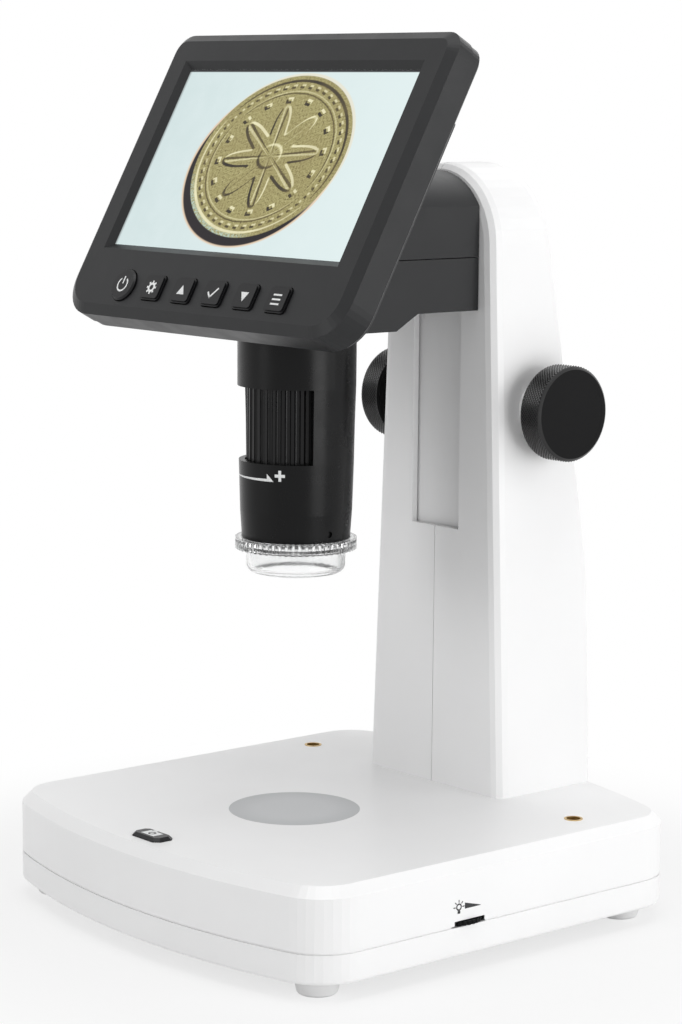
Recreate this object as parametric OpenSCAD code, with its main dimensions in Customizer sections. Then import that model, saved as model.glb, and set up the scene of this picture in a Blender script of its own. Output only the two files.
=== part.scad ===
// LCD digital microscope: a bowed base with a lit stage, a tapered column with rack and pinion focus,
// and a head that carries the zoom tube and the tilted display.
// +X runs to the user's right, -Y is the front and +Z is up. The base is centred on the origin, and
// the feet stand on z = 0. Sizes are in millimetres.

/* [Base] */
// Width of the base across its sides
base_w = 140.6; // [130:0.2:160]
// Depth of the base along its centre line
base_d = 150.5; // [149:0.5:170]
// Height of the base from the tray's underside to the top face
base_h = 25.5; // [24:0.5:32]
// Height of the bottom tray, up to the seam
tray_h = 8.5; // [7.5:0.25:10]
// Wall of the base mouldings
base_wall = 2.4; // [2:0.1:3]
// Radius of the base's corners in plan
base_corner_r = 14.5; // [12:0.5:22]
// Radius of the bowed front edge
front_bow_r = 217; // [180:1:320]
// Radius of the bowed rear edge
rear_bow_r = 198; // [180:1:320]
// Bevel round the top face
base_bevel = 2.8; // [1.5:0.1:3.5]
// Rounding of the tray's bottom edge
tray_edge_r = 1; // [1:0.1:3]
// Depth and height of the groove along the seam
seam_groove = 0.5; // [0.3:0.1:0.8]
// Height of the tray's lip inside the cover
lip_h = 1.6; // [1:0.1:2.5]
// Thickness of the tray's lip
lip_t = 1.2; // [0.8:0.1:1.6]

/* [Feet] */
// Radius of a foot at the tray
foot_r = 6.4; // [4:0.1:8]
// Amount by which a foot narrows towards the ground
foot_taper = 0.9; // [0:0.1:1.5]
// Height of a foot below the tray
foot_h = 4.6; // [3:0.1:6]
// Distance of the feet from the centre line
foot_x = 58.8; // [50:0.1:59.5]
// Distance of the front feet in front of the centre
foot_front = 56.5; // [40:0.1:57]
// Distance of the rear feet behind the centre
foot_rear = 53.5; // [40:0.1:57]
// Depth of the pocket that holds a foot
foot_pocket = 0.8; // [0.4:0.1:1.2]

/* [Stage] */
// Distance of the optical axis in front of the centre
optic_front = 16.5; // [14:0.5:19]
// Radius of the frosted stage disc
stage_r = 18.35; // [14:0.05:20]
// Thickness of the stage disc
stage_t = 1.6; // [1:0.1:1.8]
// Width of the ledge under the stage disc
stage_ledge = 1.6; // [1:0.1:3]
// Depth of the light board below the top face
light_depth = 9.2; // [8.5:0.1:10]
// Distance of a clip socket from the centre line
socket_x = 56.7; // [52:0.1:57.5]
// Distance of the clip sockets behind the centre
socket_y = 37; // [30:0.5:40]
// Bore radius of a clip socket
socket_bore_r = 2; // [1.5:0.1:2.2]
// Outer radius of a clip socket
socket_r = 2.6; // [2.4:0.1:3.2]
// Depth of the bore of a clip socket
socket_depth = 9; // [6:0.5:12]

/* [Base controls] */
// Length of the snapshot button along X
snap_w = 12.1; // [10:0.1:16]
// Width of the snapshot button along Y
snap_d = 6.5; // [5:0.5:7]
// Distance of the snapshot button's middle behind the base's front edge
snap_edge = 9.5; // [9:0.1:14]
// Height of the snapshot button above the top face
snap_proud = 1; // [0.9:0.1:2]
// Bevel round the top of the snapshot button
snap_bevel = 0.8; // [0.3:0.1:0.8]
// Travel of the snapshot button
snap_travel = 0.6; // [0.3:0.1:0.6]
// Radius of the dimmer thumbwheel
wheel_r = 9; // [7:0.5:10]
// Thickness of the thumbwheel
wheel_t = 1.1; // [1:0.1:1.4]
// Height by which the wheel stands out of the base's side
wheel_proud = 1; // [0.8:0.1:1.8]
// Place of the wheel behind the optical axis
wheel_back = 2.3; // [0:0.1:6]

/* [Column] */
// Distance from the optical axis to the column's front face
throat = 51.5; // [48:0.5:53]
// Width of the column at its foot
column_w = 57.8; // [54:0.2:62]
// Width of the column at its arched top
column_top_w = 45; // [43:0.1:48]
// Height of the column above the base
column_h = 179.2; // [179:0.1:184]
// Depth of the column at its foot
column_d = 37.4; // [36.4:0.1:39]
// Wall of the column shells
column_wall = 2; // [1.8:0.1:2.4]
// Rounding of the column's front edges
column_front_r = 3.6; // [1:0.1:4]
// Rounding of the column's rear edges
column_rear_r = 3; // [2:0.1:6]
// Height above the base where the rear face starts to lean
lean_start = 45; // [30:1:60]
// Height of the bend in the rear face
lean_bend = 34; // [20:1:40]
// Angle by which the upper rear face leans forward
lean_angle = 8.3; // [6:0.1:9]
// Width of the slot in the front face
slot_w = 20; // [18:0.5:22]
// Gap between the two column shells at their seam
shell_gap = 0.2; // [0.15:0.05:0.4]

/* [Focus drive] */
// Travel of the head down from its rest at the top
focus_travel = 64; // [40:1:64]
// Height of the knob axis above the base
knob_z = 109.9; // [106:0.1:112]
// Distance of the knob axis behind the column's front face
knob_back = 17.25; // [17:0.05:17.6]
// Radius of a focus knob
knob_r = 13.3; // [10:0.1:15]
// Thickness of a focus knob
knob_t = 8; // [6:0.1:10]
// Distance between the outer faces of the two knobs
knob_span = 76.4; // [75:0.1:82]
// Radius of the focus shaft
shaft_r = 3; // [2.5:0.1:3.3]
// Module of the rack and pinion teeth
gear_module = 0.8; // [0.8:0.01:0.82]
// Number of pinion teeth
pinion_teeth = 12; // [12:1:12]
// Width of the rack
rack_w = 6; // [4:0.5:7]
// Radius of a guide rod
rod_r = 2.2; // [1.8:0.1:2.4]
// Distance of a guide rod from the centre line
rod_x = 11.5; // [11:0.1:12]
// Thickness of the dust strip behind the slot
strip_t = 1.2; // [0.8:0.1:1.4]

/* [Head] */
// Width of the head
head_w = 34.4; // [33.4:0.1:36]
// Wall of the head shells
head_wall = 2; // [1.6:0.1:2.2]
// Height of the head's front underside above the base
head_low = 133.9; // [132:0.1:135]
// Step up from the front underside to the rear underside
head_step = 4.5; // [3:0.1:6]
// Height of the head's seam above the base
head_seam = 153.1; // [151:0.1:155]
// Gap between the column's arch and the head's arch
arch_gap = 2.2; // [0.8:0.1:2.4]
// Distance behind the optical axis where the sloped underside starts
chin_front = 21; // [18:0.5:23]
// Distance behind the optical axis where the sloped underside ends
chin_rear = 28.8; // [26:0.1:30]
// Radius of the battery cell
cell_r = 9.2; // [7:0.1:9.4]
// Length of the battery cell
cell_l = 49; // [40:1:50]

/* [Tube] */
// Outer radius of the tube at the head
tube_r = 16.35; // [15.9:0.05:16.6]
// Outer radius of the tube at its lower end
tube_low_r = 14.95; // [14.4:0.05:15.3]
// Height of the tube's lower end above the stage
tube_low = 76.85; // [76:0.05:79]
// Height of the cut-out's lower edge above the stage
window_low = 98.8; // [97:0.1:100]
// Height of the cut-out
window_h = 20.4; // [16:0.1:21]
// Half angle of the cut-out, either side of the front
window_half = 67.5; // [50:0.5:75]
// Radius of the ribbed zoom ring
ring_r = 13.75; // [13.4:0.05:13.9]
// Number of ribs round the zoom ring
ring_ribs = 33; // [24:1:36]
// Bore of the tube round the zoom ring
chamber_r = 14.2; // [14.1:0.05:14.4]
// Outer radius of the lens cell
cell_barrel_r = 10.2; // [9.5:0.1:10.5]
// Length of the lens cell
lens_cell_l = 22; // [18:0.5:24]
// Radius of the lenses
lens_r = 8; // [6:0.1:8.5]

/* [Nosepiece] */
// Radius of the ribbed collar of the clear nosepiece
nose_r = 16.8; // [16:0.1:18]
// Height of the collar
nose_collar_h = 3.1; // [2.5:0.1:4]
// Radius of the clear skirt
skirt_r = 13.7; // [13.4:0.1:14.5]
// Height of the clear skirt below the collar
skirt_h = 6.8; // [5:0.1:9]
// Wall of the clear skirt
skirt_t = 1.2; // [0.8:0.1:1.6]
// Number of ribs round the collar
nose_ribs = 56; // [40:1:64]

/* [Display] */
// Width of the frame on either side of the screen's opening
side_frame = 11.25; // [10:0.05:18]
// Reach of the housing above the screen's centre
display_up = 38.7; // [38:0.1:44]
// Reach of the housing below the screen's centre
display_down = 49.2; // [48.6:0.1:52]
// Lean of the screen back from upright
display_tilt = 28.9; // [25:0.1:32]
// Height of the screen's centre above the base
screen_z = 180; // [179.5:0.1:182]
// Distance of the screen's centre in front of the optical axis
screen_front = 12.3; // [11.5:0.1:13]
// Width of the opening for the screen
screen_w = 97.5; // [90:0.1:99]
// Height of the opening for the screen
screen_h = 55.2; // [50:0.1:57]
// Height of the front face above the screen plane
bezel_front = 2; // [1.6:0.1:2.4]
// Depth of the bezel behind the screen plane
bezel_back = 4.75; // [4.5:0.05:5.4]
// Width of the bevel round the front of the bezel
bezel_bevel = 2.8; // [1.5:0.1:3]
// Depth of that bevel
bevel_depth = 1.7; // [1.2:0.1:2.4]
// Depth of the rear cover behind the seam
rear_depth = 3.75; // [3.4:0.05:4.6]
// Corner radius at the display's top
display_top_r = 6; // [4:0.5:9]
// Corner radius at the display's bottom
display_low_r = 11; // [8:0.5:14]
// Side wall of the display mouldings
display_wall = 1.8; // [1.6:0.1:2]
// Thickness of the front and rear plates
display_plate = 1.6; // [1.4:0.05:1.65]
// Slope of the screen opening's edge
opening_bevel = 2; // [1:0.1:2.2]
// Thickness of the rear pad that lies on the head
pad_t = 1; // [0.6:0.1:1.2]
// Reach of the rear pad above the screen's centre
pad_up = 20; // [14:0.5:26]

/* [Keys] */
// Distance between the keys under the screen
key_pitch = 13.45; // [12:0.05:15]
// Distance of the keys below the screen's centre
key_down = 40.3; // [40:0.1:41]
// Width of a square key
key_w = 8.4; // [7:0.1:9]
// Height of a square key
key_h = 7.4; // [6:0.1:7.6]
// Radius of the round power key
power_r = 4.7; // [4:0.1:4.8]
// Height of the keys above the front face
key_proud = 0.9; // [0.6:0.1:1.4]
// Travel of the keys
key_travel = 0.5; // [0.2:0.05:0.5]

/* [Hidden] */
$fn = 64;

// Clearances
fit = 0.02;
run_fit = 0.05;
free_gap = 0.3;
lip_gap = 0.15;
// A small overlap that joins the features of one piece, or carries a cut past a face
eps = 0.5;
// Colours
black = [0.09, 0.09, 0.095];
dark = [0.16, 0.16, 0.17];
white = [0.93, 0.93, 0.92];
steel = [0.72, 0.73, 0.75];
brass = [0.80, 0.62, 0.28];
board = [0.10, 0.36, 0.20];
clear = [0.85, 0.92, 0.95, 0.5];

// Levels
tray_z = foot_h;
floor_z = tray_z + base_wall;
seam_z = tray_z + tray_h;
top_z = tray_z + base_h;
ceiling_z = top_z - base_wall;
optic_y = -optic_front;
column_y = optic_y + throat;
column_in_y = column_y + column_wall;

// ---------------------------------------------------------------- shared shapes

// A closed skin through rings of points. Every ring is a mirror image of itself across x = 0:
// its first half runs up the +X side, and its second half comes back down the -X side.
module loft(rings) {
  count = len(rings[0]);
  half = count / 2;
  last = (len(rings) - 1) * count;
  points = [for (ring = rings) each ring];
  walls = [
    for (r = [0:len(rings) - 2], i = [0:count - 1])
      let (a = r * count + i, b = r * count + (i + 1) % count)
        each [[a, b + count, b], [a, a + count, b + count]]
  ];
  first_cap = [
    for (i = [0:half - 2])
      each [[i, i + 1, count - 2 - i], [i, count - 2 - i, count - 1 - i]]
  ];
  last_cap = [
    for (i = [0:half - 2])
      each [[last + i, last + count - 2 - i, last + i + 1],
            [last + i, last + count - 1 - i, last + count - 2 - i]]
  ];
  polyhedron(points = points, faces = concat(walls, first_cap, last_cap), convexity = 6);
}

// The right half of an outline with its mirror image, as [x, y] points.
function mirrored(right) = concat(right, [for (i = [len(right) - 1:-1:0]) [-right[i][0], right[i][1]]]);

// Points along an arc round [cx, cy].
function arc(cx, cy, r, from, to, steps) =
  [for (k = [0:steps]) let (a = from + (to - from) * k / steps) [cx + r * cos(a), cy + r * sin(a)]];

// An outline at height z.
function at_z(outline, z) = [for (p = outline) [p[0], p[1], z]];

// A square of the given size with round corners, built from exact circles.
module rounded_rect(w, h, r) {
  square([w - 2 * r, h], center = true);
  square([w, h - 2 * r], center = true);
  for (sx = [-1, 1], sy = [-1, 1])
    translate([sx * (w / 2 - r), sy * (h / 2 - r)])
      circle(r = r);
}

// A w by h oblong with its corners cut off by c along each side, taken in by e all round.
function cut_corners(w, h, c, e) =
  let (x = w / 2 - e, y = h / 2 - e, k = c - e * (2 - sqrt(2)))
    mirrored([[x - k, -y], [x, -y + k], [x, y - k], [x - k, y]]);

// A block given by its lowest corner and its highest corner.
module block(low, high) {
  translate(low)
    cube([high[0] - low[0], high[1] - low[1], high[2] - low[2]]);
}

// A post of the given radius from height low to height high.
module post(x, y, r, low, high) {
  translate([x, y, low])
    cylinder(r = r, h = high - low);
}

// A pan-head screw that points up, with the underside of its head at the origin.
module screw(r, length, head_r, head_h) {
  difference() {
    union() {
      translate([0, 0, -eps])
        cylinder(r = r, h = length + eps);
      translate([0, 0, -head_h])
        cylinder(r = head_r, h = head_h);
    }
    for (turn = [0, 90])
      rotate([0, 0, turn])
        translate([-head_r * 0.6, -head_r * 0.13, -head_h - eps])
          cube([head_r * 1.2, head_r * 0.26, head_h * 0.6 + eps]);
  }
}

// ---------------------------------------------------------------- base

bow_steps = 7;
corner_steps = 8;
corner_x = base_w / 2 - base_corner_r;
front_bow_y = -base_d / 2 + front_bow_r;
rear_bow_y = base_d / 2 - rear_bow_r;
front_corner_y = front_bow_y - sqrt(pow(front_bow_r - base_corner_r, 2) - pow(corner_x, 2));
rear_corner_y = rear_bow_y + sqrt(pow(rear_bow_r - base_corner_r, 2) - pow(corner_x, 2));
front_angle = asin(corner_x / (front_bow_r - base_corner_r));
rear_angle = asin(corner_x / (rear_bow_r - base_corner_r));

// Half of a bow: points from just beside the centre line out to the angle where the corner starts.
function bow(r, y, angle, dir) = [
  for (k = [0:bow_steps])
    let (a = angle * (2 * k + 1) / (2 * bow_steps + 1)) [r * sin(a), y + dir * r * cos(a)]
];
function backwards(list) = [for (i = [len(list) - 1:-1:0]) list[i]];
function tail(list) = [for (i = [1:len(list) - 1]) list[i]];

// The base's outline, taken in by e all round.
function base_outline(e) = mirrored(concat(
  bow(front_bow_r - e, front_bow_y, front_angle, -1),
  tail(arc(corner_x, front_corner_y, base_corner_r - e, -90 + front_angle, 0, corner_steps)),
  arc(corner_x, rear_corner_y, base_corner_r - e, 0, 90 - rear_angle, corner_steps),
  tail(backwards(bow(rear_bow_r - e, rear_bow_y, rear_angle, 1)))
));

// Screws that hold the tray to the cover
base_screw_r = 1.4;
base_screw_head_r = 2.9;
base_screw_head_h = 2;
base_screw_sink = 5;
base_screw_reach = 16;
boss_r = 4;
base_screw_x = base_w / 2 - 18.3;
base_screw_y = base_d / 2 - 28.25;
base_screw_places = [for (sx = [-1, 1], sy = [-1, 1]) [sx * base_screw_x, sy * base_screw_y]];
// Screws that hold the column to the cover
column_screw_r = 1.5;
column_screw_head_r = 2.8;
column_screw_l = 14;
column_screw_backs = [0.27 * column_d, 0.73 * column_d];
column_screw_x = column_w / 2 - column_wall - boss_r + 0.4;
column_screw_places = [for (sx = [-1, 1], back = column_screw_backs) [sx * column_screw_x, column_y + back]];
foot_places = [for (sx = [-1, 1]) each [[sx * foot_x, -foot_front], [sx * foot_x, foot_rear]]];

// Stage light
light_z = top_z - light_depth;
light_board_t = 1.6;
light_post_r = 2.2;
light_post_place = stage_r + light_post_r + 0.6;
light_board_r = light_post_place + light_post_r;

// Snapshot button
snap_y = -base_d / 2 + snap_edge;
snap_corner = 1.5;
snap_hole_gap = 0.2;
snap_flange_t = 1.1;
snap_flange_z = ceiling_z - free_gap - snap_flange_t;
snap_stem_z = snap_flange_z - 1;
snap_switch_h = 3.4;
snap_board_t = 1.6;
snap_board_z = snap_stem_z - snap_travel - 0.1 - snap_switch_h;
snap_board_w = 28;
snap_board_d = 9;
snap_post_x = 11.5;

// Dimmer
wheel_x = base_w / 2 + wheel_proud - wheel_r;
wheel_y = optic_y + wheel_back;
wheel_sink = 0.2;
wheel_z = seam_z - wheel_sink;
wheel_gap = 0.6;
wheel_bore_r = 2.05;
dimmer_board_z = floor_z + 1;
dimmer_board_t = 1.6;
dimmer_body_r = 4;
control_low = [wheel_x - 22, wheel_y - 15.5];
control_high = [wheel_x + 3, wheel_y + 15.5];

// Power inlet
inlet_w = 9;
inlet_h = 9.6;
inlet_l = 13;
inlet_z = seam_z + lip_h + 0.5;
inlet_y = base_d / 2 - base_wall - lip_gap;
inlet_nose_r = 3.9;
inlet_bore_r = 3.1;
inlet_pin_r = 1;
inlet_mid_z = inlet_z + inlet_h / 2;

module base_top_cover() {
  color(white)
    difference() {
      union() {
        difference() {
          loft([
            at_z(base_outline(0), seam_z),
            at_z(base_outline(0), top_z - base_bevel),
            at_z(base_outline(base_bevel), top_z)
          ]);
          loft([
            at_z(base_outline(base_wall), seam_z - eps),
            at_z(base_outline(base_wall), ceiling_z - base_bevel / 2),
            at_z(base_outline(base_wall + base_bevel / 2), ceiling_z)
          ]);
        }
        for (p = base_screw_places)
          post(p[0], p[1], boss_r, seam_z, ceiling_z + eps);
        for (sx = [-1, 1])
          post(sx * socket_x, socket_y, socket_r + 2, top_z - socket_depth - 2, ceiling_z + eps);
        for (turn = [30, 150, 270])
          translate([0, optic_y, 0])
            rotate([0, 0, turn])
              post(light_post_place, 0, light_post_r, light_z, ceiling_z + eps);
        for (sx = [-1, 1])
          post(sx * snap_post_x, snap_y, light_post_r, snap_board_z, ceiling_z + eps);
      }
      post(0, optic_y, stage_r + fit, top_z - stage_t, top_z + eps);
      post(0, optic_y, stage_r - stage_ledge, ceiling_z - eps, top_z);
      for (sx = [-1, 1])
        post(sx * socket_x, socket_y, socket_r + fit, top_z - socket_depth, top_z + eps);
      for (p = base_screw_places)
        post(p[0], p[1], base_screw_r + fit, seam_z - eps,
             tray_z + base_screw_sink + base_screw_reach + 0.5);
      for (p = column_screw_places)
        post(p[0], p[1], column_screw_r + 0.1, ceiling_z - eps, top_z + eps);
      post(wheel_x, wheel_y, wheel_r + wheel_gap, seam_z - eps, wheel_z + wheel_t + free_gap);
      translate([0, snap_y, ceiling_z - eps])
        linear_extrude(base_wall + 2 * eps)
          polygon(cut_corners(snap_w, snap_d, snap_corner, -snap_hole_gap));
      translate([0, inlet_y - eps, inlet_mid_z])
        rotate([-90, 0, 0])
          cylinder(r = inlet_nose_r + 0.1, h = base_wall + 2);
    }
}

module base_bottom_tray() {
  lip_inset = base_wall + lip_gap;
  post_in = 2.5;
  color(white)
    difference() {
      union() {
        difference() {
          loft([
            at_z(base_outline(tray_edge_r), tray_z),
            at_z(base_outline(tray_edge_r * 0.5), tray_z + tray_edge_r * 0.134),
            at_z(base_outline(tray_edge_r * 0.134), tray_z + tray_edge_r * 0.5),
            at_z(base_outline(0), tray_z + tray_edge_r),
            at_z(base_outline(0), seam_z - seam_groove),
            at_z(base_outline(seam_groove), seam_z - seam_groove),
            at_z(base_outline(seam_groove), seam_z),
            at_z(base_outline(lip_inset), seam_z),
            at_z(base_outline(lip_inset), seam_z + lip_h)
          ]);
          loft([
            at_z(base_outline(lip_inset + lip_t), floor_z),
            at_z(base_outline(lip_inset + lip_t), seam_z + lip_h + eps)
          ]);
        }
        for (p = base_screw_places)
          post(p[0], p[1], boss_r, floor_z - eps, seam_z);
        for (x = [control_low[0] + post_in, control_high[0] - post_in],
             y = [control_low[1] + post_in, control_high[1] - post_in])
          post(x, y, 2, floor_z - eps, dimmer_board_z);
        block([-inlet_w / 2, inlet_y - inlet_l, floor_z - eps], [inlet_w / 2, inlet_y - 3, inlet_z]);
      }
      for (p = base_screw_places) {
        post(p[0], p[1], base_screw_head_r + 0.3, tray_z - eps, tray_z + base_screw_sink);
        post(p[0], p[1], base_screw_r + 0.1, tray_z, seam_z + eps);
      }
      for (p = foot_places)
        post(p[0], p[1], foot_r + fit, tray_z - eps, tray_z + foot_pocket);
      post(wheel_x, wheel_y, wheel_r + wheel_gap, seam_z - seam_groove, seam_z + lip_h + eps);
    }
}

module rubber_feet() {
  edge = 1;
  low_r = foot_r - foot_taper;
  color([0.80, 0.80, 0.79])
    for (p = foot_places)
      translate([p[0], p[1], 0])
        rotate_extrude()
          polygon(concat(
            [[0, 0], [low_r - edge, 0]],
            tail(arc(low_r - edge, edge, edge, -90, 0, 4)),
            [[foot_r, tray_z], [foot_r, tray_z + foot_pocket], [0, tray_z + foot_pocket]]
          ));
}

module base_screws() {
  color(steel)
    for (p = base_screw_places)
      translate([p[0], p[1], tray_z + base_screw_sink])
        screw(base_screw_r, base_screw_reach, base_screw_head_r, base_screw_head_h);
}

module stage_window() {
  color([0.90, 0.93, 0.95])
    post(0, optic_y, stage_r, top_z - stage_t, top_z);
}

module stage_light_board() {
  leds = 8;
  led_ring = 10;
  color(board)
    union() {
      post(0, optic_y, light_board_r, light_z - light_board_t, light_z);
      for (i = [0:leds - 1])
        translate([0, optic_y, light_z])
          rotate([0, 0, 360 / leds * i])
            translate([led_ring - 1.5, -1.5, -eps])
              cube([3, 3, 1 + eps]);
    }
}

module clip_sockets() {
  rim = 0.15;
  color(brass)
    for (sx = [-1, 1])
      difference() {
        post(sx * socket_x, socket_y, socket_r, top_z - socket_depth, top_z + rim);
        post(sx * socket_x, socket_y, socket_bore_r, top_z - socket_depth - eps, top_z + rim + eps);
      }
}

module snapshot_button() {
  high = top_z + snap_proud;
  color(dark)
    union() {
      translate([0, snap_y, 0])
        loft([
          at_z(cut_corners(snap_w, snap_d, snap_corner, 0), snap_flange_z),
          at_z(cut_corners(snap_w, snap_d, snap_corner, 0), high - snap_bevel),
          at_z(cut_corners(snap_w, snap_d, snap_corner, snap_bevel), high)
        ]);
      translate([0, snap_y, snap_flange_z])
        linear_extrude(snap_flange_t)
          polygon(cut_corners(snap_w, snap_d, snap_corner, -1));
      post(0, snap_y, 1.5, snap_stem_z, snap_flange_z + eps);
    }
}

module snapshot_switch() {
  half = 3;
  color(board)
    union() {
      block([-snap_board_w / 2, snap_y - snap_board_d / 2, snap_board_z - snap_board_t],
            [snap_board_w / 2, snap_y + snap_board_d / 2, snap_board_z]);
      block([-half, snap_y - half, snap_board_z - eps], [half, snap_y + half, snap_board_z + snap_switch_h]);
    }
}

module base_circuit_board() {
  color(board)
    union() {
      block([control_low[0], control_low[1], dimmer_board_z],
            [control_high[0], control_high[1], dimmer_board_z + dimmer_board_t]);
      block([control_low[0] + 3, wheel_y - 4, dimmer_board_z + eps],
            [control_low[0] + 9, wheel_y + 4, dimmer_board_z + dimmer_board_t + 2.5]);
    }
}

module dimmer_wheel() {
  grooves = 36;
  color(dark)
    translate([wheel_x, wheel_y, wheel_z])
      difference() {
        cylinder(r = wheel_r, h = wheel_t);
        translate([0, 0, -eps])
          cylinder(r = wheel_bore_r, h = wheel_t + 2 * eps);
        for (i = [0:grooves - 1])
          rotate([0, 0, 360 / grooves * i])
            translate([wheel_r + 0.15, 0, -eps])
              cylinder(r = 0.45, h = wheel_t + 2 * eps, $fn = 16);
      }
}

module dimmer_control() {
  body_z = dimmer_board_z + dimmer_board_t;
  color(dark)
    union() {
      post(wheel_x, wheel_y, dimmer_body_r, body_z, wheel_z - free_gap);
      post(wheel_x, wheel_y, wheel_bore_r - run_fit, body_z, wheel_z + wheel_t);
    }
}

module power_inlet() {
  color(dark)
    difference() {
      union() {
        block([-inlet_w / 2, inlet_y - inlet_l, inlet_z], [inlet_w / 2, inlet_y, inlet_z + inlet_h]);
        translate([0, inlet_y - eps, inlet_mid_z])
          rotate([-90, 0, 0])
            cylinder(r = inlet_nose_r, h = base_wall - 0.4 + eps);
      }
      difference() {
        translate([0, inlet_y - 9, inlet_mid_z])
          rotate([-90, 0, 0])
            cylinder(r = inlet_bore_r, h = 9 + base_wall + 1);
        translate([0, inlet_y - 10, inlet_mid_z])
          rotate([-90, 0, 0])
            cylinder(r = inlet_pin_r, h = 10);
      }
    }
}

// ---------------------------------------------------------------- column

arch_r = column_top_w / 2;
arch_z = top_z + column_h - arch_r;
arch_steps = 10;

// y of the column's rear face at height z: upright below, a bend, then a straight lean.
function rear_y(z) =
  let (h = z - top_z - lean_start, slope = tan(lean_angle))
    column_y + column_d
      - (h <= 0 ? 0 : h < lean_bend ? slope * h * h / (2 * lean_bend) : slope * (h - lean_bend / 2));

// The column seen from the front, taken in by e: [x, z] points up the right side and over the arch.
function column_side(e, low) =
  let (
    foot = [column_w / 2 - e, low],
    dx = foot[0],
    dz = foot[1] - arch_z,
    start = atan2(dz, dx) + acos((arch_r - e) / norm([dx, dz])),
    touch = [(arch_r - e) * cos(start), arch_z + (arch_r - e) * sin(start)],
    bends = [0, 0.25, 0.5, 0.75, 1]
  )
    concat(
      [foot],
      [for (b = bends)
        let (z = top_z + lean_start + b * lean_bend)
          [foot[0] + (touch[0] - foot[0]) * (z - low) / (touch[1] - low), z]],
      [for (k = [0:arch_steps])
        let (a = start + (90 - start) * 2 * k / (2 * arch_steps + 1))
          [(arch_r - e) * cos(a), arch_z + (arch_r - e) * sin(a)]]
    );

// The column's form, taken in by e, with its front face at y and its rear face e inside the true one.
module column_form(e, y, front_r, rear_r, low) {
  turns = [0, 30, 60, 90];
  loft(concat(
    [for (a = backwards(turns))
      [for (p = mirrored(column_side(e + rear_r * (1 - sin(90 - a)) , low)))
        [p[0], rear_y(p[1]) - e - rear_r * (1 - cos(90 - a)), p[1]]]],
    [for (a = backwards(turns))
      [for (p = mirrored(column_side(e + front_r * (1 - sin(a)), low)))
        [p[0], y + front_r * (1 - cos(a)), p[1]]]]
  ));
}

// Rounding of the cavity's edges inside the column
inner_edge = 0.5;

// Focus drive
pitch_r = gear_module * pinion_teeth / 2;
tooth_pitch = PI * gear_module;
axis_y = column_y + knob_back;
axis_z = top_z + knob_z;
rack_pitch_y = axis_y - pitch_r;
backlash = 0.2;
rack_tip = 0.55;
rack_root = 0.98;
pinion_tip = gear_module;
pinion_root = 0.75;
pressure = 20;
pinion_w = rack_w + 2;

strip_y = column_in_y + free_gap;
strip_w = slot_w + 4;
block_y = strip_y + strip_t;
block_h = 30;
block_hang = 9.6;
block_w = 30;
block_d = 6.4;
rod_y = block_y + block_d / 2;
rack_y = rack_pitch_y - 5;
rear_under_z = top_z + head_low + head_step;
neck_z = rear_under_z + head_wall;
neck_h = 10;
neck_w = 16;
block_z = neck_z - block_hang;
slot_low = neck_z - focus_travel - 1;
slot_high = neck_z + neck_h + 1;
holder_t = 6;
lower_holder_z = block_z - focus_travel - 2 - holder_t;
upper_holder_z = block_z + block_h + 2.2;
upper_holder_t = 4;
lower_holder_w = 34;
upper_holder_w = 31;
holder_d = 7.8;
holder_y = block_y + free_gap;
bush_r = 5;
bush_flange_r = 6.6;
bush_flange_t = 1.2;
bush_boss_r = 8;
bush_in = lower_holder_w / 2 + 1;
bush_proud = 2.2;
bush_out = column_w / 2 + (arch_r - column_w / 2) * (axis_z - top_z) / (arch_z - top_z) + bush_proud;

// The seat for a rod holder: a rib on each side, from the holder's end to the wall.
module holder_ribs(z, t, w) {
  intersection() {
    column_form(column_wall / 2, column_y + column_wall / 2, inner_edge, inner_edge, top_z);
    for (sx = [-1, 1])
      translate([sx < 0 ? -w / 2 - 20 : w / 2, holder_y, z])
        cube([20, holder_d, t]);
  }
}

module column_whole() {
  difference() {
    union() {
      difference() {
        column_form(0, column_y, column_front_r, column_rear_r, top_z);
        column_form(column_wall, column_in_y, inner_edge, inner_edge, top_z - eps);
      }
      holder_ribs(lower_holder_z, holder_t, lower_holder_w);
      holder_ribs(upper_holder_z, upper_holder_t, upper_holder_w);
      for (sx = [-1, 1])
        translate([sx * (bush_in + bush_out) / 2, axis_y, axis_z])
          rotate([0, 90, 0])
            cylinder(r = bush_boss_r, h = bush_out - bush_in, center = true);
      for (p = column_screw_places)
        post(p[0], p[1], boss_r, top_z, top_z + column_screw_l + 2);
    }
    block([-slot_w / 2, column_y - eps, slot_low], [slot_w / 2, column_in_y + eps, slot_high]);
    translate([0, axis_y, axis_z])
      rotate([0, 90, 0])
        cylinder(r = bush_r + fit, h = 2 * column_w, center = true);
    for (p = column_screw_places)
      post(p[0], p[1], column_screw_r + fit, top_z - eps, top_z + column_screw_l);
  }
}

module column_shell_right() {
  color(white)
    intersection() {
      column_whole();
      block([shell_gap / 2, 0, 0], [column_w, base_d, top_z + column_h + 10]);
    }
}

module column_shell_left() {
  color(white)
    intersection() {
      column_whole();
      block([-column_w, 0, 0], [-shell_gap / 2, base_d, top_z + column_h + 10]);
    }
}

module column_screws() {
  color(steel)
    for (p = column_screw_places)
      translate([p[0], p[1], ceiling_z])
        screw(column_screw_r, base_wall + column_screw_l - 1, column_screw_head_r, 1.8);
}

module guide_rods() {
  color(steel)
    for (sx = [-1, 1])
      post(sx * rod_x, rod_y, rod_r, lower_holder_z + 1, upper_holder_z + upper_holder_t);
}

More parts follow.
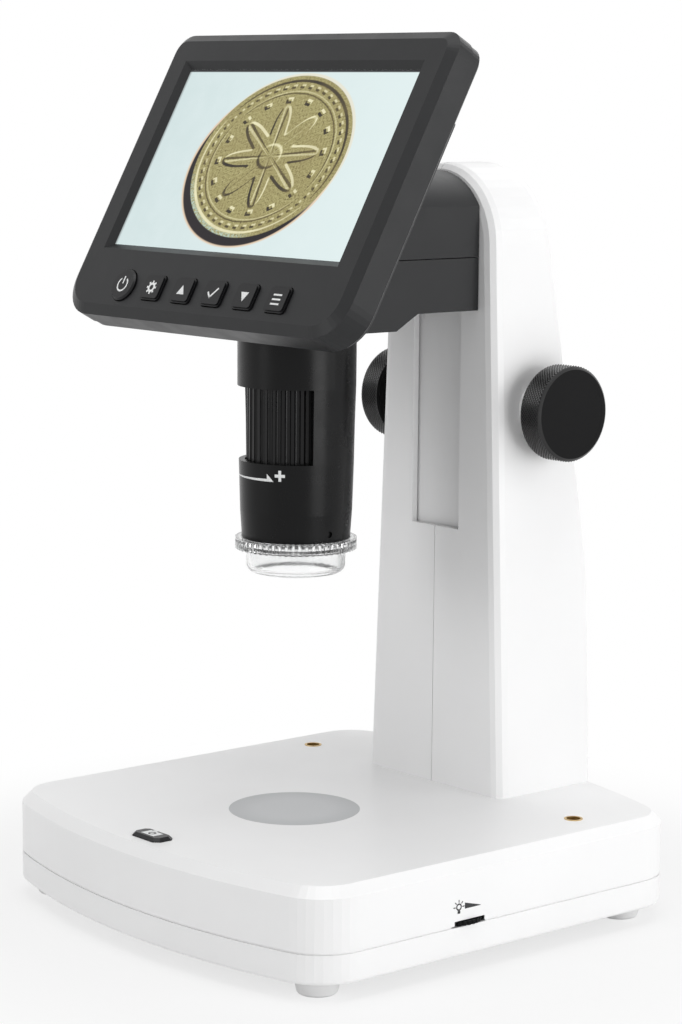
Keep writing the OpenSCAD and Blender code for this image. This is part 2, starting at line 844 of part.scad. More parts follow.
module rod_holder(z, t, w, rod_from, rod_to) {
  difference() {
    block([-w / 2, holder_y, z], [w / 2, holder_y + holder_d, z + t]);
    for (sx = [-1, 1])
      post(sx * rod_x, rod_y, rod_r + fit, rod_from, rod_to);
    block([-rack_w / 2 - 0.6, rack_y - 0.6, z - eps],
          [rack_w / 2 + 0.6, holder_y + holder_d + eps, z + t + eps]);
  }
}

module rod_holder_lower() {
  color(dark)
    rod_holder(lower_holder_z, holder_t, lower_holder_w, lower_holder_z + 1, lower_holder_z + holder_t + eps);
}

module rod_holder_upper() {
  color(dark)
    rod_holder(upper_holder_z, upper_holder_t, upper_holder_w, upper_holder_z - eps,
               upper_holder_z + upper_holder_t + eps);
}

module shaft_bushes() {
  color(brass)
    for (sx = [-1, 1])
      translate([0, axis_y, axis_z])
        rotate([0, sx * 90, 0])
          difference() {
            union() {
              translate([0, 0, bush_in])
                cylinder(r = bush_r, h = bush_out - bush_in + eps);
              translate([0, 0, bush_out])
                cylinder(r = bush_flange_r, h = bush_flange_t);
            }
            cylinder(r = shaft_r + run_fit, h = column_w);
          }
}

knob_out = knob_span / 2;
knob_in = knob_out - knob_t;
shaft_half = knob_out - 2;

module focus_shaft() {
  color(steel)
    translate([0, axis_y, axis_z])
      rotate([0, 90, 0])
        cylinder(r = shaft_r, h = 2 * shaft_half, center = true);
}

// A point of the pinion's involute flank, at radius r: the angle from the tooth's centre line.
base_r = pitch_r * cos(pressure);
function involute(r) = let (a = acos(min(1, base_r / r))) tan(a) * 180 / PI - a;
tooth_half = (tooth_pitch - backlash) / 4 / pitch_r * 180 / PI;
function flank_angle(r) = tooth_half + involute(pitch_r) - involute(max(r, base_r));

function pinion_outline() =
  let (radii = [pitch_r - pinion_root, base_r, pitch_r - 0.1,
                pitch_r + pinion_tip * 0.45, pitch_r + pinion_tip])
    [for (t = [0:pinion_teeth - 1])
      let (mid = 180 + 360 / pinion_teeth * t)
        each concat(
          [for (r = radii) [r * cos(mid - flank_angle(r)), r * sin(mid - flank_angle(r))]],
          [for (r = backwards(radii)) [r * cos(mid + flank_angle(r)), r * sin(mid + flank_angle(r))]]
        )];

module pinion() {
  color(brass)
    translate([-pinion_w / 2, axis_y, axis_z])
      multmatrix([[0, 0, 1, 0], [1, 0, 0, 0], [0, 1, 0, 0], [0, 0, 0, 1]])
        difference() {
          linear_extrude(pinion_w)
            polygon(pinion_outline());
          translate([0, 0, -eps])
            cylinder(r = shaft_r + fit, h = pinion_w + 2 * eps);
        }
}

// One knob as a turned shape along +Z, with its back face at the origin.
module knob_form() {
  face_bevel = 1.3;
  back_bevel = 0.5;
  hub_r = 5;
  hub_l = knob_in - bush_out - bush_flange_t - free_gap;
  difference() {
    rotate_extrude($fn = 96)
      polygon([
        [0, -hub_l], [hub_r, -hub_l], [hub_r, 0], [knob_r - back_bevel, 0], [knob_r, back_bevel],
        [knob_r, knob_t - face_bevel - 0.6], [knob_r - 0.35, knob_t - face_bevel],
        [knob_r - face_bevel, knob_t], [0, knob_t]
      ]);
    translate([0, 0, -hub_l - eps])
      cylinder(r = shaft_r + fit, h = hub_l + shaft_half - knob_in + eps);
  }
}

module focus_knob_right() {
  color(black)
    translate([knob_in, axis_y, axis_z])
      rotate([0, 90, 0])
        knob_form();
}

module focus_knob_left() {
  color(black)
    translate([-knob_in, axis_y, axis_z])
      rotate([0, -90, 0])
        knob_form();
}

// ---------------------------------------------------------------- carriage and head

head_screw_r = 1.4;
head_screw_head_r = 2.6;
head_screw_head_h = 1.3;
neck_in = 12.5;
neck_screw_y = column_y - 8;
neck_screw_x = 5;

module carriage() {
  color(dark)
    difference() {
      union() {
        block([-block_w / 2, block_y, block_z], [block_w / 2, block_y + block_d, block_z + block_h]);
        block([-neck_w / 2, column_y - neck_in, neck_z], [neck_w / 2, block_y + eps, neck_z + neck_h]);
      }
      for (sx = [-1, 1])
        post(sx * rod_x, rod_y, rod_r + run_fit, block_z - eps, block_z + block_h + eps);
      block([-rack_w / 2 - fit, rack_y, block_z - eps],
            [rack_w / 2 + fit, block_y + block_d + eps, block_z + block_h + eps]);
      for (sx = [-1, 1])
        post(sx * neck_screw_x, neck_screw_y, head_screw_r + fit, neck_z - eps, neck_z + 8);
    }
}

rack_low = axis_z - tooth_pitch;
rack_count = ceil((focus_travel + 1.2 * tooth_pitch) / tooth_pitch) + 1;
rack_high = rack_low + (focus_travel + 1.7 + tooth_pitch);

// The rack seen from the side, as [y, z] points: teeth face the rear.
function rack_outline() =
  let (
    half = (tooth_pitch - backlash) / 4,
    lean = tan(pressure),
    tip_y = rack_pitch_y + rack_tip,
    root_y = rack_pitch_y - rack_root
  )
    [for (i = [0:rack_count - 1])
      let (mid = rack_low + tooth_pitch * (i + 0.5))
        each [
          [root_y, mid - half - rack_root * lean],
          [tip_y, mid - half + rack_tip * lean],
          [tip_y, mid + half - rack_tip * lean],
          [root_y, mid + half + rack_root * lean]
        ]];

module rack() {
  color(steel)
    intersection() {
      translate([-rack_w / 2, 0, 0])
        multmatrix([[0, 0, 1, 0], [1, 0, 0, 0], [0, 1, 0, 0], [0, 0, 0, 1]])
          linear_extrude(rack_w)
            polygon(concat(
              [[rack_y, rack_low]],
              [[rack_pitch_y - rack_root, rack_low]],
              rack_outline(),
              [[rack_pitch_y - rack_root, rack_low + tooth_pitch * rack_count]],
              [[rack_y, rack_low + tooth_pitch * rack_count]]
            ));
      block([-rack_w, 0, rack_low], [rack_w, base_d, rack_high]);
    }
}

module dust_strip() {
  low = slot_low - 6;
  high = arch_z + sqrt(pow(arch_r - column_wall - 1, 2) - pow(strip_w / 2, 2));
  color(white)
    difference() {
      block([-strip_w / 2, strip_y, low], [strip_w / 2, block_y, high]);
      block([-neck_w / 2 - fit, strip_y - eps, neck_z - fit],
            [neck_w / 2 + fit, block_y + eps, neck_z + neck_h + fit]);
    }
}

// The display's plane: y of the plane that lies n in front of the screen, at height z.
screen_y = optic_y - screen_front;
screen_top_z = top_z + screen_z;
function slope_y(z, n) = screen_y + (z - screen_top_z) * tan(display_tilt) - n / cos(display_tilt);

display_w = screen_w + 2 * side_frame;
rear_top_n = -bezel_back - 0.2;
rear_plate_n = rear_top_n - rear_depth;
pad_n = rear_plate_n - pad_t;
head_arch_r = arch_r - arch_gap;
front_under_z = top_z + head_low;
head_seam_z = top_z + head_seam;
head_rear_y = column_y - free_gap;
chin_shift = tan(atan(head_step / (chin_rear - chin_front)) / 2);

// The head seen from the side, taken in by e, as [y, z] points.
function head_side(e) =
  let (high = arch_z + head_arch_r - e)
    [
      [head_rear_y - e, rear_under_z + e],
      [optic_y + chin_rear - e * chin_shift, rear_under_z + e],
      [optic_y + chin_front - e * chin_shift, front_under_z + e],
      [slope_y(front_under_z + e, pad_n - e), front_under_z + e],
      [slope_y(high, pad_n - e), high],
      [head_rear_y - e, high]
    ];

module head_form(e) {
  intersection() {
    translate([-head_w / 2 + e, 0, 0])
      multmatrix([[0, 0, 1, 0], [1, 0, 0, 0], [0, 1, 0, 0], [0, 0, 0, 1]])
        linear_extrude(head_w - 2 * e)
          polygon(head_side(e));
    union() {
      translate([0, 0, arch_z])
        rotate([90, 0, 0])
          cylinder(r = head_arch_r - e, h = 2 * base_d, center = true, $fn = 96);
      block([-head_w, -base_d, 0], [head_w, base_d, arch_z]);
    }
  }
}

spigot_r = head_w / 2 - head_wall - 0.1;
spigot_h = 5.8;
cell_z = arch_z + 5.1;
cell_front = optic_y - 2;
cradle_z = cell_z - cell_r - 2.2;
cradle_top = cell_z - 6;
cradle_ys = [cell_front + 4, cell_front + cell_l - 17];
cradle_t = 3;
shell_screw_x = 12.2;
shell_screw_y = optic_y + 38;
shell_screw_boss = 2.7;
shell_screw_head_r = 2.2;
head_cable_s = -12;
head_cable_r = 4;
display_screw_r = 1.2;
display_screw_places = [for (sx = [-1, 1], s = [-22.5, -31.5]) [sx * 10, s]];

// Puts a shape from the display's own frame in place: x across, y up the screen, z out of it.
module on_display() {
  translate([0, screen_y, screen_top_z])
    rotate([90 - display_tilt, 0, 0])
      children();
}

module head_front_holes() {
  on_display() {
    translate([0, head_cable_s, pad_n - head_wall - 1])
      cylinder(r = head_cable_r, h = head_wall + 1 + eps);
    for (p = display_screw_places)
      translate([p[0], p[1], pad_n - head_wall - 1])
        cylinder(r = display_screw_r + 0.1, h = head_wall + 1 + eps);
  }
}

module neck_opening() {
  block([-neck_w / 2 - 0.1, head_rear_y - head_wall - eps, neck_z - fit],
        [neck_w / 2 + 0.1, head_rear_y + eps, neck_z + neck_h + 0.1]);
}

module head_lower_shell() {
  color(black)
    difference() {
      union() {
        difference() {
          head_form(0);
          head_form(head_wall);
          block([-head_w, -base_d, head_seam_z], [head_w, base_d, top_z + column_h]);
        }
        for (y = cradle_ys)
          block([-head_w / 2 + head_wall - eps, y, cradle_z],
                [head_w / 2 - head_wall + eps, y + cradle_t, head_seam_z - free_gap]);
        for (y = cradle_ys)
          block([-head_w / 2 + head_wall + free_gap, y, cradle_z],
                [head_w / 2 - head_wall - free_gap, y + cradle_t, cradle_top]);
        for (sx = [-1, 1])
          post(sx * shell_screw_x, shell_screw_y, shell_screw_boss, rear_under_z + eps, head_seam_z);
      }
      translate([0, cell_front - eps, cell_z])
        rotate([-90, 0, 0])
          cylinder(r = cell_r + fit, h = cell_l + 2 * eps);
      post(0, optic_y, spigot_r + fit, front_under_z - eps, front_under_z + head_wall + eps);
      neck_opening();
      for (sx = [-1, 1]) {
        post(sx * neck_screw_x, neck_screw_y, head_screw_r + 0.1, rear_under_z, neck_z + eps);
        post(sx * neck_screw_x, neck_screw_y, head_screw_head_r + 0.1, rear_under_z - eps,
             rear_under_z + head_screw_head_h);
        post(sx * shell_screw_x, shell_screw_y, head_screw_r + 0.1, rear_under_z, head_seam_z + eps);
        post(sx * shell_screw_x, shell_screw_y, shell_screw_head_r + 0.1, rear_under_z - eps,
             rear_under_z + head_screw_head_h);
      }
      head_front_holes();
    }
}

module head_upper_shell() {
  gap = 0.25;
  color(black)
    difference() {
      union() {
        difference() {
          head_form(0);
          head_form(head_wall);
          block([-head_w, -base_d, 0], [head_w, base_d, head_seam_z + gap]);
        }
        intersection() {
          head_form(head_wall / 2);
          for (sx = [-1, 1])
            post(sx * shell_screw_x, shell_screw_y, shell_screw_boss, head_seam_z + gap, arch_z + arch_r);
        }
      }
      for (sx = [-1, 1])
        post(sx * shell_screw_x, shell_screw_y, head_screw_r + fit, head_seam_z, head_seam_z + 9);
      translate([0, cell_front - eps, cell_z])
        rotate([-90, 0, 0])
          cylinder(r = cell_r + 0.2, h = cell_l + 2 * eps);
      head_front_holes();
    }
}

module head_screws() {
  color(steel)
    for (sx = [-1, 1]) {
      translate([sx * neck_screw_x, neck_screw_y, rear_under_z + head_screw_head_h])
        screw(head_screw_r, 8, head_screw_head_r, head_screw_head_h);
      translate([sx * shell_screw_x, shell_screw_y, rear_under_z + head_screw_head_h])
        screw(head_screw_r, head_seam_z - rear_under_z + 6, shell_screw_head_r, head_screw_head_h);
    }
}

module battery_cell() {
  color([0.25, 0.45, 0.65])
    translate([0, cell_front, cell_z])
      rotate([-90, 0, 0])
        union() {
          cylinder(r = cell_r, h = cell_l - 1);
          translate([0, 0, cell_l - 1 - eps])
            cylinder(r = 3.5, h = 1 + eps);
        }
}

// ---------------------------------------------------------------- tube and optics

tube_z = top_z + tube_low;
window_z = top_z + window_low;
ledge_z = window_z - 1.3;
ring_z = ledge_z + free_gap;
ring_h = window_h + 2.2;
mount_z = ring_z + ring_h + free_gap;
mount_h = 10.8;
lower_bore_r = 12;
board_bore_r = 12.95;
ring_board_t = 1.6;
ring_board_z = tube_z + 3.2;
ring_bore_r = cell_barrel_r + free_gap;
lens_cell_z = ring_z - 7;
spigot_top = front_under_z + spigot_h;

module tube_housing() {
  mid = (tube_r + tube_low_r) / 2;
  color(black)
    difference() {
      rotate_on_axis()
        polygon([
          [board_bore_r, tube_z], [tube_low_r - 0.25, tube_z], [tube_low_r, tube_z + 0.4],
          [tube_low_r + 0.5, tube_z + 8], [mid + 0.2, window_z], [tube_r - 0.35, window_z + window_h / 2],
          [tube_r - 0.05, window_z + window_h], [tube_r, front_under_z], [spigot_r, front_under_z],
          [spigot_r, spigot_top], [chamber_r, spigot_top], [chamber_r, ledge_z], [lower_bore_r, ledge_z],
          [lower_bore_r, ring_board_z + ring_board_t], [board_bore_r, ring_board_z + ring_board_t]
        ]);
      translate([0, optic_y, window_z])
        linear_extrude(window_h)
          polygon(concat([[0, 0]], arc(0, 0, 2 * tube_r, -90 - window_half, -90 + window_half, 6)));
      translate([0, optic_y, tube_z + 2.65])
        rotate([0, 90, -2])
          translate([0, 0, tube_low_r - 0.5])
            cylinder(r = 0.9, h = 3, $fn = 24);
    }
}

// Turns a profile of [r, z] points round the optical axis.
module rotate_on_axis() {
  translate([0, optic_y, 0])
    rotate_extrude($fn = 96)
      children();
}

module zoom_ring() {
  rib_r = 0.88;
  color(dark)
    translate([0, optic_y, ring_z])
      difference() {
        cylinder(r = ring_r, h = ring_h);
        translate([0, 0, -eps])
          cylinder(r = ring_bore_r, h = ring_h + 2 * eps);
        for (i = [0:ring_ribs - 1])
          rotate([0, 0, 360 / ring_ribs * (i + 0.5)])
            translate([ring_r + 0.1, 0, 1])
              cylinder(r = rib_r, h = ring_h - 2, $fn = 16);
      }
}

module lens_cell() {
  lip = 1;
  color(dark)
    rotate_on_axis()
      polygon([
        [lens_r + fit, lens_cell_z], [cell_barrel_r, lens_cell_z],
        [cell_barrel_r, lens_cell_z + lens_cell_l], [lens_r - 2 + fit, lens_cell_z + lens_cell_l],
        [lens_r - 2 + fit, lens_cell_z + lens_cell_l - 4], [lens_r - 3, lens_cell_z + lens_cell_l - 4 - lip],
        [lens_r - lip, lens_cell_z + 6], [lens_r - lip, lens_cell_z + 4.5], [lens_r + fit, lens_cell_z + 4.5]
      ]);
}

// A lens of radius r and edge thickness t, crowned by c on both faces.
module lens(r, t, c) {
  sphere_r = (r * r + c * c) / (2 * c);
  intersection() {
    cylinder(r = r, h = t + 4 * c, center = true);
    translate([0, 0, t / 2 + c - sphere_r])
      sphere(r = sphere_r, $fn = 96);
    translate([0, 0, -t / 2 - c + sphere_r])
      sphere(r = sphere_r, $fn = 96);
  }
}

module front_lens() {
  color(clear)
    translate([0, optic_y, lens_cell_z + 2.7])
      lens(lens_r, 2, 0.8);
}

module rear_lens() {
  color(clear)
    translate([0, optic_y, lens_cell_z + lens_cell_l - 2.4])
      lens(lens_r - 2, 1.8, 0.5);
}

module sensor_mount() {
  plate = 1.6;
  color(dark)
    rotate_on_axis()
      polygon([
        [ring_bore_r + 0.5, mount_z], [chamber_r - run_fit, mount_z], [chamber_r - run_fit, mount_z + mount_h],
        [6, mount_z + mount_h], [6, mount_z + mount_h - plate], [ring_bore_r + 0.5, mount_z + mount_h - plate]
      ]);
}

module image_sensor_board() {
  z = mount_z + mount_h;
  color(board)
    union() {
      post(0, optic_y, chamber_r - 0.7, z, z + 1.6);
      block([-4, optic_y - 4, z - 1.2], [4, optic_y + 4, z + eps]);
      block([-6, optic_y - 2.5, z + 1.6 - eps], [6, optic_y + 2.5, z + 4]);
    }
}

module light_ring_board() {
  leds = 8;
  color(white)
    difference() {
      union() {
        post(0, optic_y, board_bore_r - fit, ring_board_z, ring_board_z + ring_board_t);
        for (i = [0:leds - 1])
          translate([0, optic_y, 0])
            rotate([0, 0, 360 / leds * (i + 0.5)])
              post(9.4, 0, 1.2, ring_board_z - 1.2, ring_board_z + eps);
      }
      post(0, optic_y, 6.5, ring_board_z - 2, ring_board_z + ring_board_t + eps);
    }
}

module nosepiece() {
  collar_top = tube_z + 0.4;
  collar_low = collar_top - nose_collar_h;
  skirt_low = collar_low - skirt_h;
  sleeve_r = board_bore_r - run_fit;
  bend = 2.6;
  rib_gap = 1.1;
  rib_depth = 0.8;
  color(clear)
    difference() {
      rotate_on_axis()
        polygon(concat(
          [
            [sleeve_r - 1, ring_board_z - 1.5], [sleeve_r, ring_board_z - 1.5], [sleeve_r, tube_z - 0.1],
            [tube_low_r + 0.25, tube_z - 0.1], [tube_low_r + 0.25, collar_top], [nose_r, collar_top],
            [nose_r, collar_low], [skirt_r, collar_low]
          ],
          arc(skirt_r - bend, skirt_low + bend, bend, 0, -60, 4),
          [[skirt_r - bend, skirt_low], [skirt_r - bend - skirt_t / 2, skirt_low]],
          arc(skirt_r - bend, skirt_low + bend, bend - skirt_t, -60, 0, 4),
          [[skirt_r - skirt_t, collar_low], [sleeve_r - 1, collar_low + 0.8]]
        ));
      translate([0, optic_y, collar_low - eps])
        for (i = [0:nose_ribs - 1])
          rotate([0, 0, 360 / nose_ribs * i])
            translate([nose_r - rib_depth, -rib_gap / 2, 0])
              cube([2 * rib_depth, rib_gap, nose_collar_h - 0.5 + eps]);
    }
}

// ---------------------------------------------------------------- display

// The display's outline, taken in by e: [x, s] points, with s up the screen.
function display_outline(e) = mirrored(concat(
  arc(display_w / 2 - display_low_r, -display_down + display_low_r, display_low_r - e, -90, 0, 10),
  arc(display_w / 2 - display_top_r, display_up - display_top_r, display_top_r - e, 0, 90, 8)
));

// The outline of the raised pad on the rear cover.
function pad_outline(e) = mirrored(concat(
  arc(display_w / 2 - display_low_r, -display_down + display_low_r, display_low_r - e, -90, 0, 10),
  arc(display_w / 2 - 3, pad_up - 3, 3 - min(e, 2.9), 0, 90, 3)
));

plate_in_n = bezel_front - display_plate;
rear_in_n = rear_plate_n + 1.4;
glass_t = 1;
lcd_n = plate_in_n - glass_t;
lcd_t = 2.2;
lcd_side = 3.5;
lcd_low = 4.5;
lcd_high = 6.8;
main_t = 1.2;
main_low = -18;
main_high = display_up - display_wall - 6.9;
main_post_x = display_w / 2 - 14;
main_n = rear_in_n + 0.4;
key_board_t = 1.2;
key_flange_t = 1.2;
key_flange_n = plate_in_n - free_gap - key_flange_t;
key_stem_l = 0.8;
key_stem_n = key_flange_n - key_stem_l;
key_cap_n = bezel_front + key_proud;
key_crown = 0.45;
dome_h = 0.6;
key_board_n = key_stem_n - key_travel - 0.15 - dome_h;
key_hole_gap = 0.2;
key_corner = 1.3;
usb_low = [-display_w / 2 + display_wall + 0.3, -14];
usb_high = [-display_w / 2 + display_wall + 5.3, -6.5];
card_low = [-display_w / 2 + display_wall + 0.6, 6];
card_high = [-display_w / 2 + display_wall + 14.6, 18];
card_t = 1.5;
usb_t = 2.7;
main_high_n = main_n + main_t;
key_names = 6;
function key_x(i) = (i - (key_names - 1) / 2) * key_pitch;

module port_cuts() {
  translate([-display_w / 2 - eps, usb_low[1] - 0.2, main_high_n - 0.1])
    cube([display_wall + 0.5 + eps, usb_high[1] - usb_low[1] + 0.4, usb_t + 0.2]);
  translate([-display_w / 2 - eps, card_low[1] - 0.1, main_high_n + 0.2])
    cube([display_wall + 0.5 + eps, card_high[1] - card_low[1] + 0.2, card_t - 0.4]);
}

module display_bezel() {
  grow = bezel_front + eps;
  color(black)
    on_display()
      difference() {
        loft([
          at_z(display_outline(0), -bezel_back),
          at_z(display_outline(0), bezel_front - bevel_depth),
          at_z(display_outline(bezel_bevel), bezel_front)
        ]);
        loft([
          at_z(display_outline(display_wall), -bezel_back - eps),
          at_z(display_outline(display_wall), plate_in_n - bevel_depth / 2),
          at_z(display_outline(display_wall + bezel_bevel / 2), plate_in_n)
        ]);
        loft([for (step = [[0, plate_in_n - eps], [0, plate_in_n], [1, bezel_front], [1.3, grow]])
          let (e = step[0] * opening_bevel)
            at_z(mirrored([
              [screen_w / 2 + e, -screen_h / 2 - e],
              [screen_w / 2 + e, screen_h / 2 + e]
            ]), step[1])]);
        translate([key_x(0), -key_down, plate_in_n - eps])
          cylinder(r = power_r + key_hole_gap, h = display_plate + 2 * eps);
        for (i = [1:key_names - 1])
          translate([key_x(i), -key_down, plate_in_n - eps])
            linear_extrude(display_plate + 2 * eps)
              rounded_rect(key_w + 2 * key_hole_gap, key_h + 2 * key_hole_gap, key_corner + key_hole_gap);
        port_cuts();
      }
}

module display_rear_cover() {
  inset = 0.3;
  color(black)
    on_display()
      difference() {
        union() {
          difference() {
            loft([
              at_z(display_outline(inset + 0.9), rear_plate_n),
              at_z(display_outline(inset), rear_plate_n + 0.9),
              at_z(display_outline(inset), rear_top_n)
            ]);
            loft([
              at_z(display_outline(display_wall + 0.2), rear_in_n),
              at_z(display_outline(display_wall + 0.2), rear_top_n + eps)
            ]);
          }
          loft([
            at_z(pad_outline(2), pad_n),
            at_z(pad_outline(1.4), rear_plate_n + 0.2)
          ]);
          for (p = display_screw_places)
            translate([p[0], p[1], rear_in_n - eps])
              cylinder(r = 2.6, h = 2.6 + eps);
          for (x = [-2 * key_pitch, 0, 2 * key_pitch])
            translate([x, -key_down, rear_in_n - eps])
              cylinder(r = 1.6, h = key_board_n - key_board_t - rear_in_n + eps);
          for (x = [-main_post_x, main_post_x], s = [main_low + 4, main_high - 4])
            translate([x, s, rear_in_n - eps])
              cylinder(r = 2, h = main_n - rear_in_n + eps);
        }
        for (p = display_screw_places)
          translate([p[0], p[1], pad_n - eps])
            cylinder(r = display_screw_r + fit, h = 5 + eps);
        translate([0, head_cable_s, pad_n - eps])
          cylinder(r = head_cable_r, h = 3);
        port_cuts();
      }
}

module display_window() {
  color([0.80, 0.88, 0.92, 0.5])
    on_display()
      translate([0, 0, lcd_n])
        linear_extrude(glass_t)
          square([screen_w + 5, screen_h + 5], center = true);
}

module lcd_panel() {
  color([0.62, 0.76, 0.80])
    on_display()
      translate([-screen_w / 2 - lcd_side, -screen_h / 2 - lcd_low, lcd_n - lcd_t])
        cube([screen_w + 2 * lcd_side, screen_h + lcd_low + lcd_high, lcd_t]);
}

module main_board() {
  color(board)
    on_display()
      union() {
        translate([-display_w / 2 + display_wall + 0.5, main_low, main_n])
          cube([display_w - 2 * display_wall - 12, main_high - main_low, main_t]);
        translate([8, -4, main_high_n - eps])
          cube([12, 12, 1 + eps]);
        translate([30, 10, main_high_n - eps])
          cube([8, 10, 0.9 + eps]);
      }
}

module card_socket() {
  color(steel)
    on_display()
      difference() {
        translate([card_low[0], card_low[1], main_high_n])
          cube([card_high[0] - card_low[0], card_high[1] - card_low[1], card_t]);
        translate([card_low[0] - eps, card_low[1] + 0.6, main_high_n + 0.35])
          cube([card_high[0] - card_low[0] - 1, card_high[1] - card_low[1] - 1.2, card_t - 0.7]);
      }
}

module usb_socket() {
  color(steel)
    on_display()
      difference() {
        translate([usb_low[0], usb_low[1], main_high_n])
          cube([usb_high[0] - usb_low[0], usb_high[1] - usb_low[1], usb_t]);
        translate([usb_low[0] - eps, usb_low[1] + 0.3, main_high_n + 0.3])
          cube([usb_high[0] - usb_low[0] - 0.4, usb_high[1] - usb_low[1] - 0.6, usb_t - 0.6]);
      }
}

module key_switch_board() {
  half_w = key_x(key_names - 1) + 5.5;
  color(board)
    on_display()
      union() {
        translate([-half_w, -key_down - 4.2, key_board_n - key_board_t])
          cube([2 * half_w, 8.4, key_board_t]);
        for (i = [0:key_names - 1])
          translate([key_x(i), -key_down, key_board_n - eps])
            cylinder(r = 2.4, h = dome_h + eps);
      }
}

module display_screws() {
  color(steel)
    on_display()
      for (p = display_screw_places)
        translate([p[0], p[1], pad_n - head_wall])
          screw(display_screw_r, head_wall + 4.5, 2.3, 1.5);
}

// The hidden part of a key: a flange behind the bezel and a stem over its switch.
module key_back(w, h) {
  translate([0, 0, key_flange_n])
    linear_extrude(key_flange_t)
      rounded_rect(w, h, key_corner);
  translate([0, 0, key_stem_n])
    cylinder(r = 1.4, h = key_stem_l + eps);
}

module square_key(i) {
  color(dark)
    on_display()
      translate([key_x(i), -key_down, 0])
        union() {
          key_back(key_w + 1.6, key_h + 0.8);
          translate([0, 0, key_flange_n])
            linear_extrude(key_cap_n - key_crown - key_flange_n)
              rounded_rect(key_w, key_h, key_corner);
          translate([0, 0, key_cap_n - key_crown - 0.01])
            linear_extrude(key_crown + 0.01)
              rounded_rect(key_w - 2 * key_crown, key_h - 2 * key_crown, key_corner - key_crown);
        }
}

module power_key() {
  color(dark)
    on_display()
      translate([key_x(0), -key_down, 0])
        union() {
          key_back(2 * power_r + 0.8, key_h + 1.2);
          rotate_extrude()
            polygon([
              [0, key_flange_n], [power_r, key_flange_n], [power_r, key_cap_n - key_crown],
              [power_r - key_crown, key_cap_n], [0, key_cap_n]
            ]);
        }
}

module settings_key() { square_key(1); }
module up_key() { square_key(2); }
module confirm_key() { square_key(3); }
module down_key() { square_key(4); }
module mode_key() { square_key(5); }

// ---------------------------------------------------------------- the assembly

base_top_cover();
base_bottom_tray();
rubber_feet();
base_screws();
stage_window();
stage_light_board();
clip_sockets();
snapshot_button();
snapshot_switch();
base_circuit_board();
dimmer_wheel();
dimmer_control();
power_inlet();
column_shell_left();
column_shell_right();
column_screws();
guide_rods();
rod_holder_lower();
rod_holder_upper();
shaft_bushes();
focus_shaft();
pinion();
focus_knob_left();
focus_knob_right();
carriage();
rack();
dust_strip();
head_upper_shell();
head_lower_shell();
head_screws();
battery_cell();
tube_housing();
zoom_ring();
lens_cell();
front_lens();
rear_lens();
sensor_mount();
image_sensor_board();
light_ring_board();
nosepiece();
display_bezel();
display_rear_cover();
display_window();
lcd_panel();
main_board();
key_switch_board();
card_socket();
usb_socket();
display_screws();
power_key();
settings_key();
up_key();
confirm_key();
down_key();
mode_key();
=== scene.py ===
"""Looks for a desktop digital microscope: materials, printed symbols, knurling, the picture on the
display, soft studio light and the camera. Lengths that start as millimetres are turned into metres
with MM."""

import math

import bmesh
import bpy
from mathutils import Matrix, Vector
from mathutils.bvhtree import BVHTree


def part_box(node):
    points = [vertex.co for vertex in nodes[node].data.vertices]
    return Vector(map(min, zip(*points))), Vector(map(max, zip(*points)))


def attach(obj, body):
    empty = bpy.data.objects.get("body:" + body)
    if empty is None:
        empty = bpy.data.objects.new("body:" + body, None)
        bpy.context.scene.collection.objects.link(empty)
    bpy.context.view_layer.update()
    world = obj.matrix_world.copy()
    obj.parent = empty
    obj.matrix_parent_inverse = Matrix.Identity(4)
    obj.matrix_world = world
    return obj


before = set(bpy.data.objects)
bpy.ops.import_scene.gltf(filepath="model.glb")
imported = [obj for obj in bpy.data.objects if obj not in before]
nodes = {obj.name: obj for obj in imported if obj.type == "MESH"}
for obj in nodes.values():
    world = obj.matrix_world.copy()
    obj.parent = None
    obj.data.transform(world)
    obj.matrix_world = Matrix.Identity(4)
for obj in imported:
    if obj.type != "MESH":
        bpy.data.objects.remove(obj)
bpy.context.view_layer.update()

MM = 0.001

# ---------------------------------------------------------------- places taken from the frame

DISPLAY_TILT = math.radians(28.9)
DISPLAY_UP = Vector((0, math.sin(DISPLAY_TILT), math.cos(DISPLAY_TILT)))
DISPLAY_OUT = Vector((0, -math.cos(DISPLAY_TILT), math.sin(DISPLAY_TILT)))
ACROSS = Vector((1, 0, 0))
REARWARD = Vector((0, 1, 0))
UPRIGHT = Vector((0, 0, 1))


def middle(node):
    """The middle of a CAD node's box."""
    low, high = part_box(node)
    return (low + high) / 2


def reach(node, direction):
    """How far a CAD node reaches along a direction, measured from the origin."""
    return max(v.co.dot(direction) for v in nodes[node].data.vertices)


def on_plane(point, direction, distance):
    """The point moved along direction until it lies at that distance from the origin."""
    return point + direction * (distance - point.dot(direction))


OPTIC = middle("stage_window")
SCREEN = on_plane(middle("display_window"), DISPLAY_OUT, reach("display_window", DISPLAY_OUT))
SHAFT = middle("focus_shaft")


# ---------------------------------------------------------------- ways to build node trees

# Most of a noise texture's values lie between these
NOISE_LOW = 0.3
NOISE_HIGH = 0.7

# A range is a low and a high value and, where they aren't 0 and 1, what those two are carried to.
# This one leaves separate patches of a noise texture.
PATCHES = (0.35, 0.75)


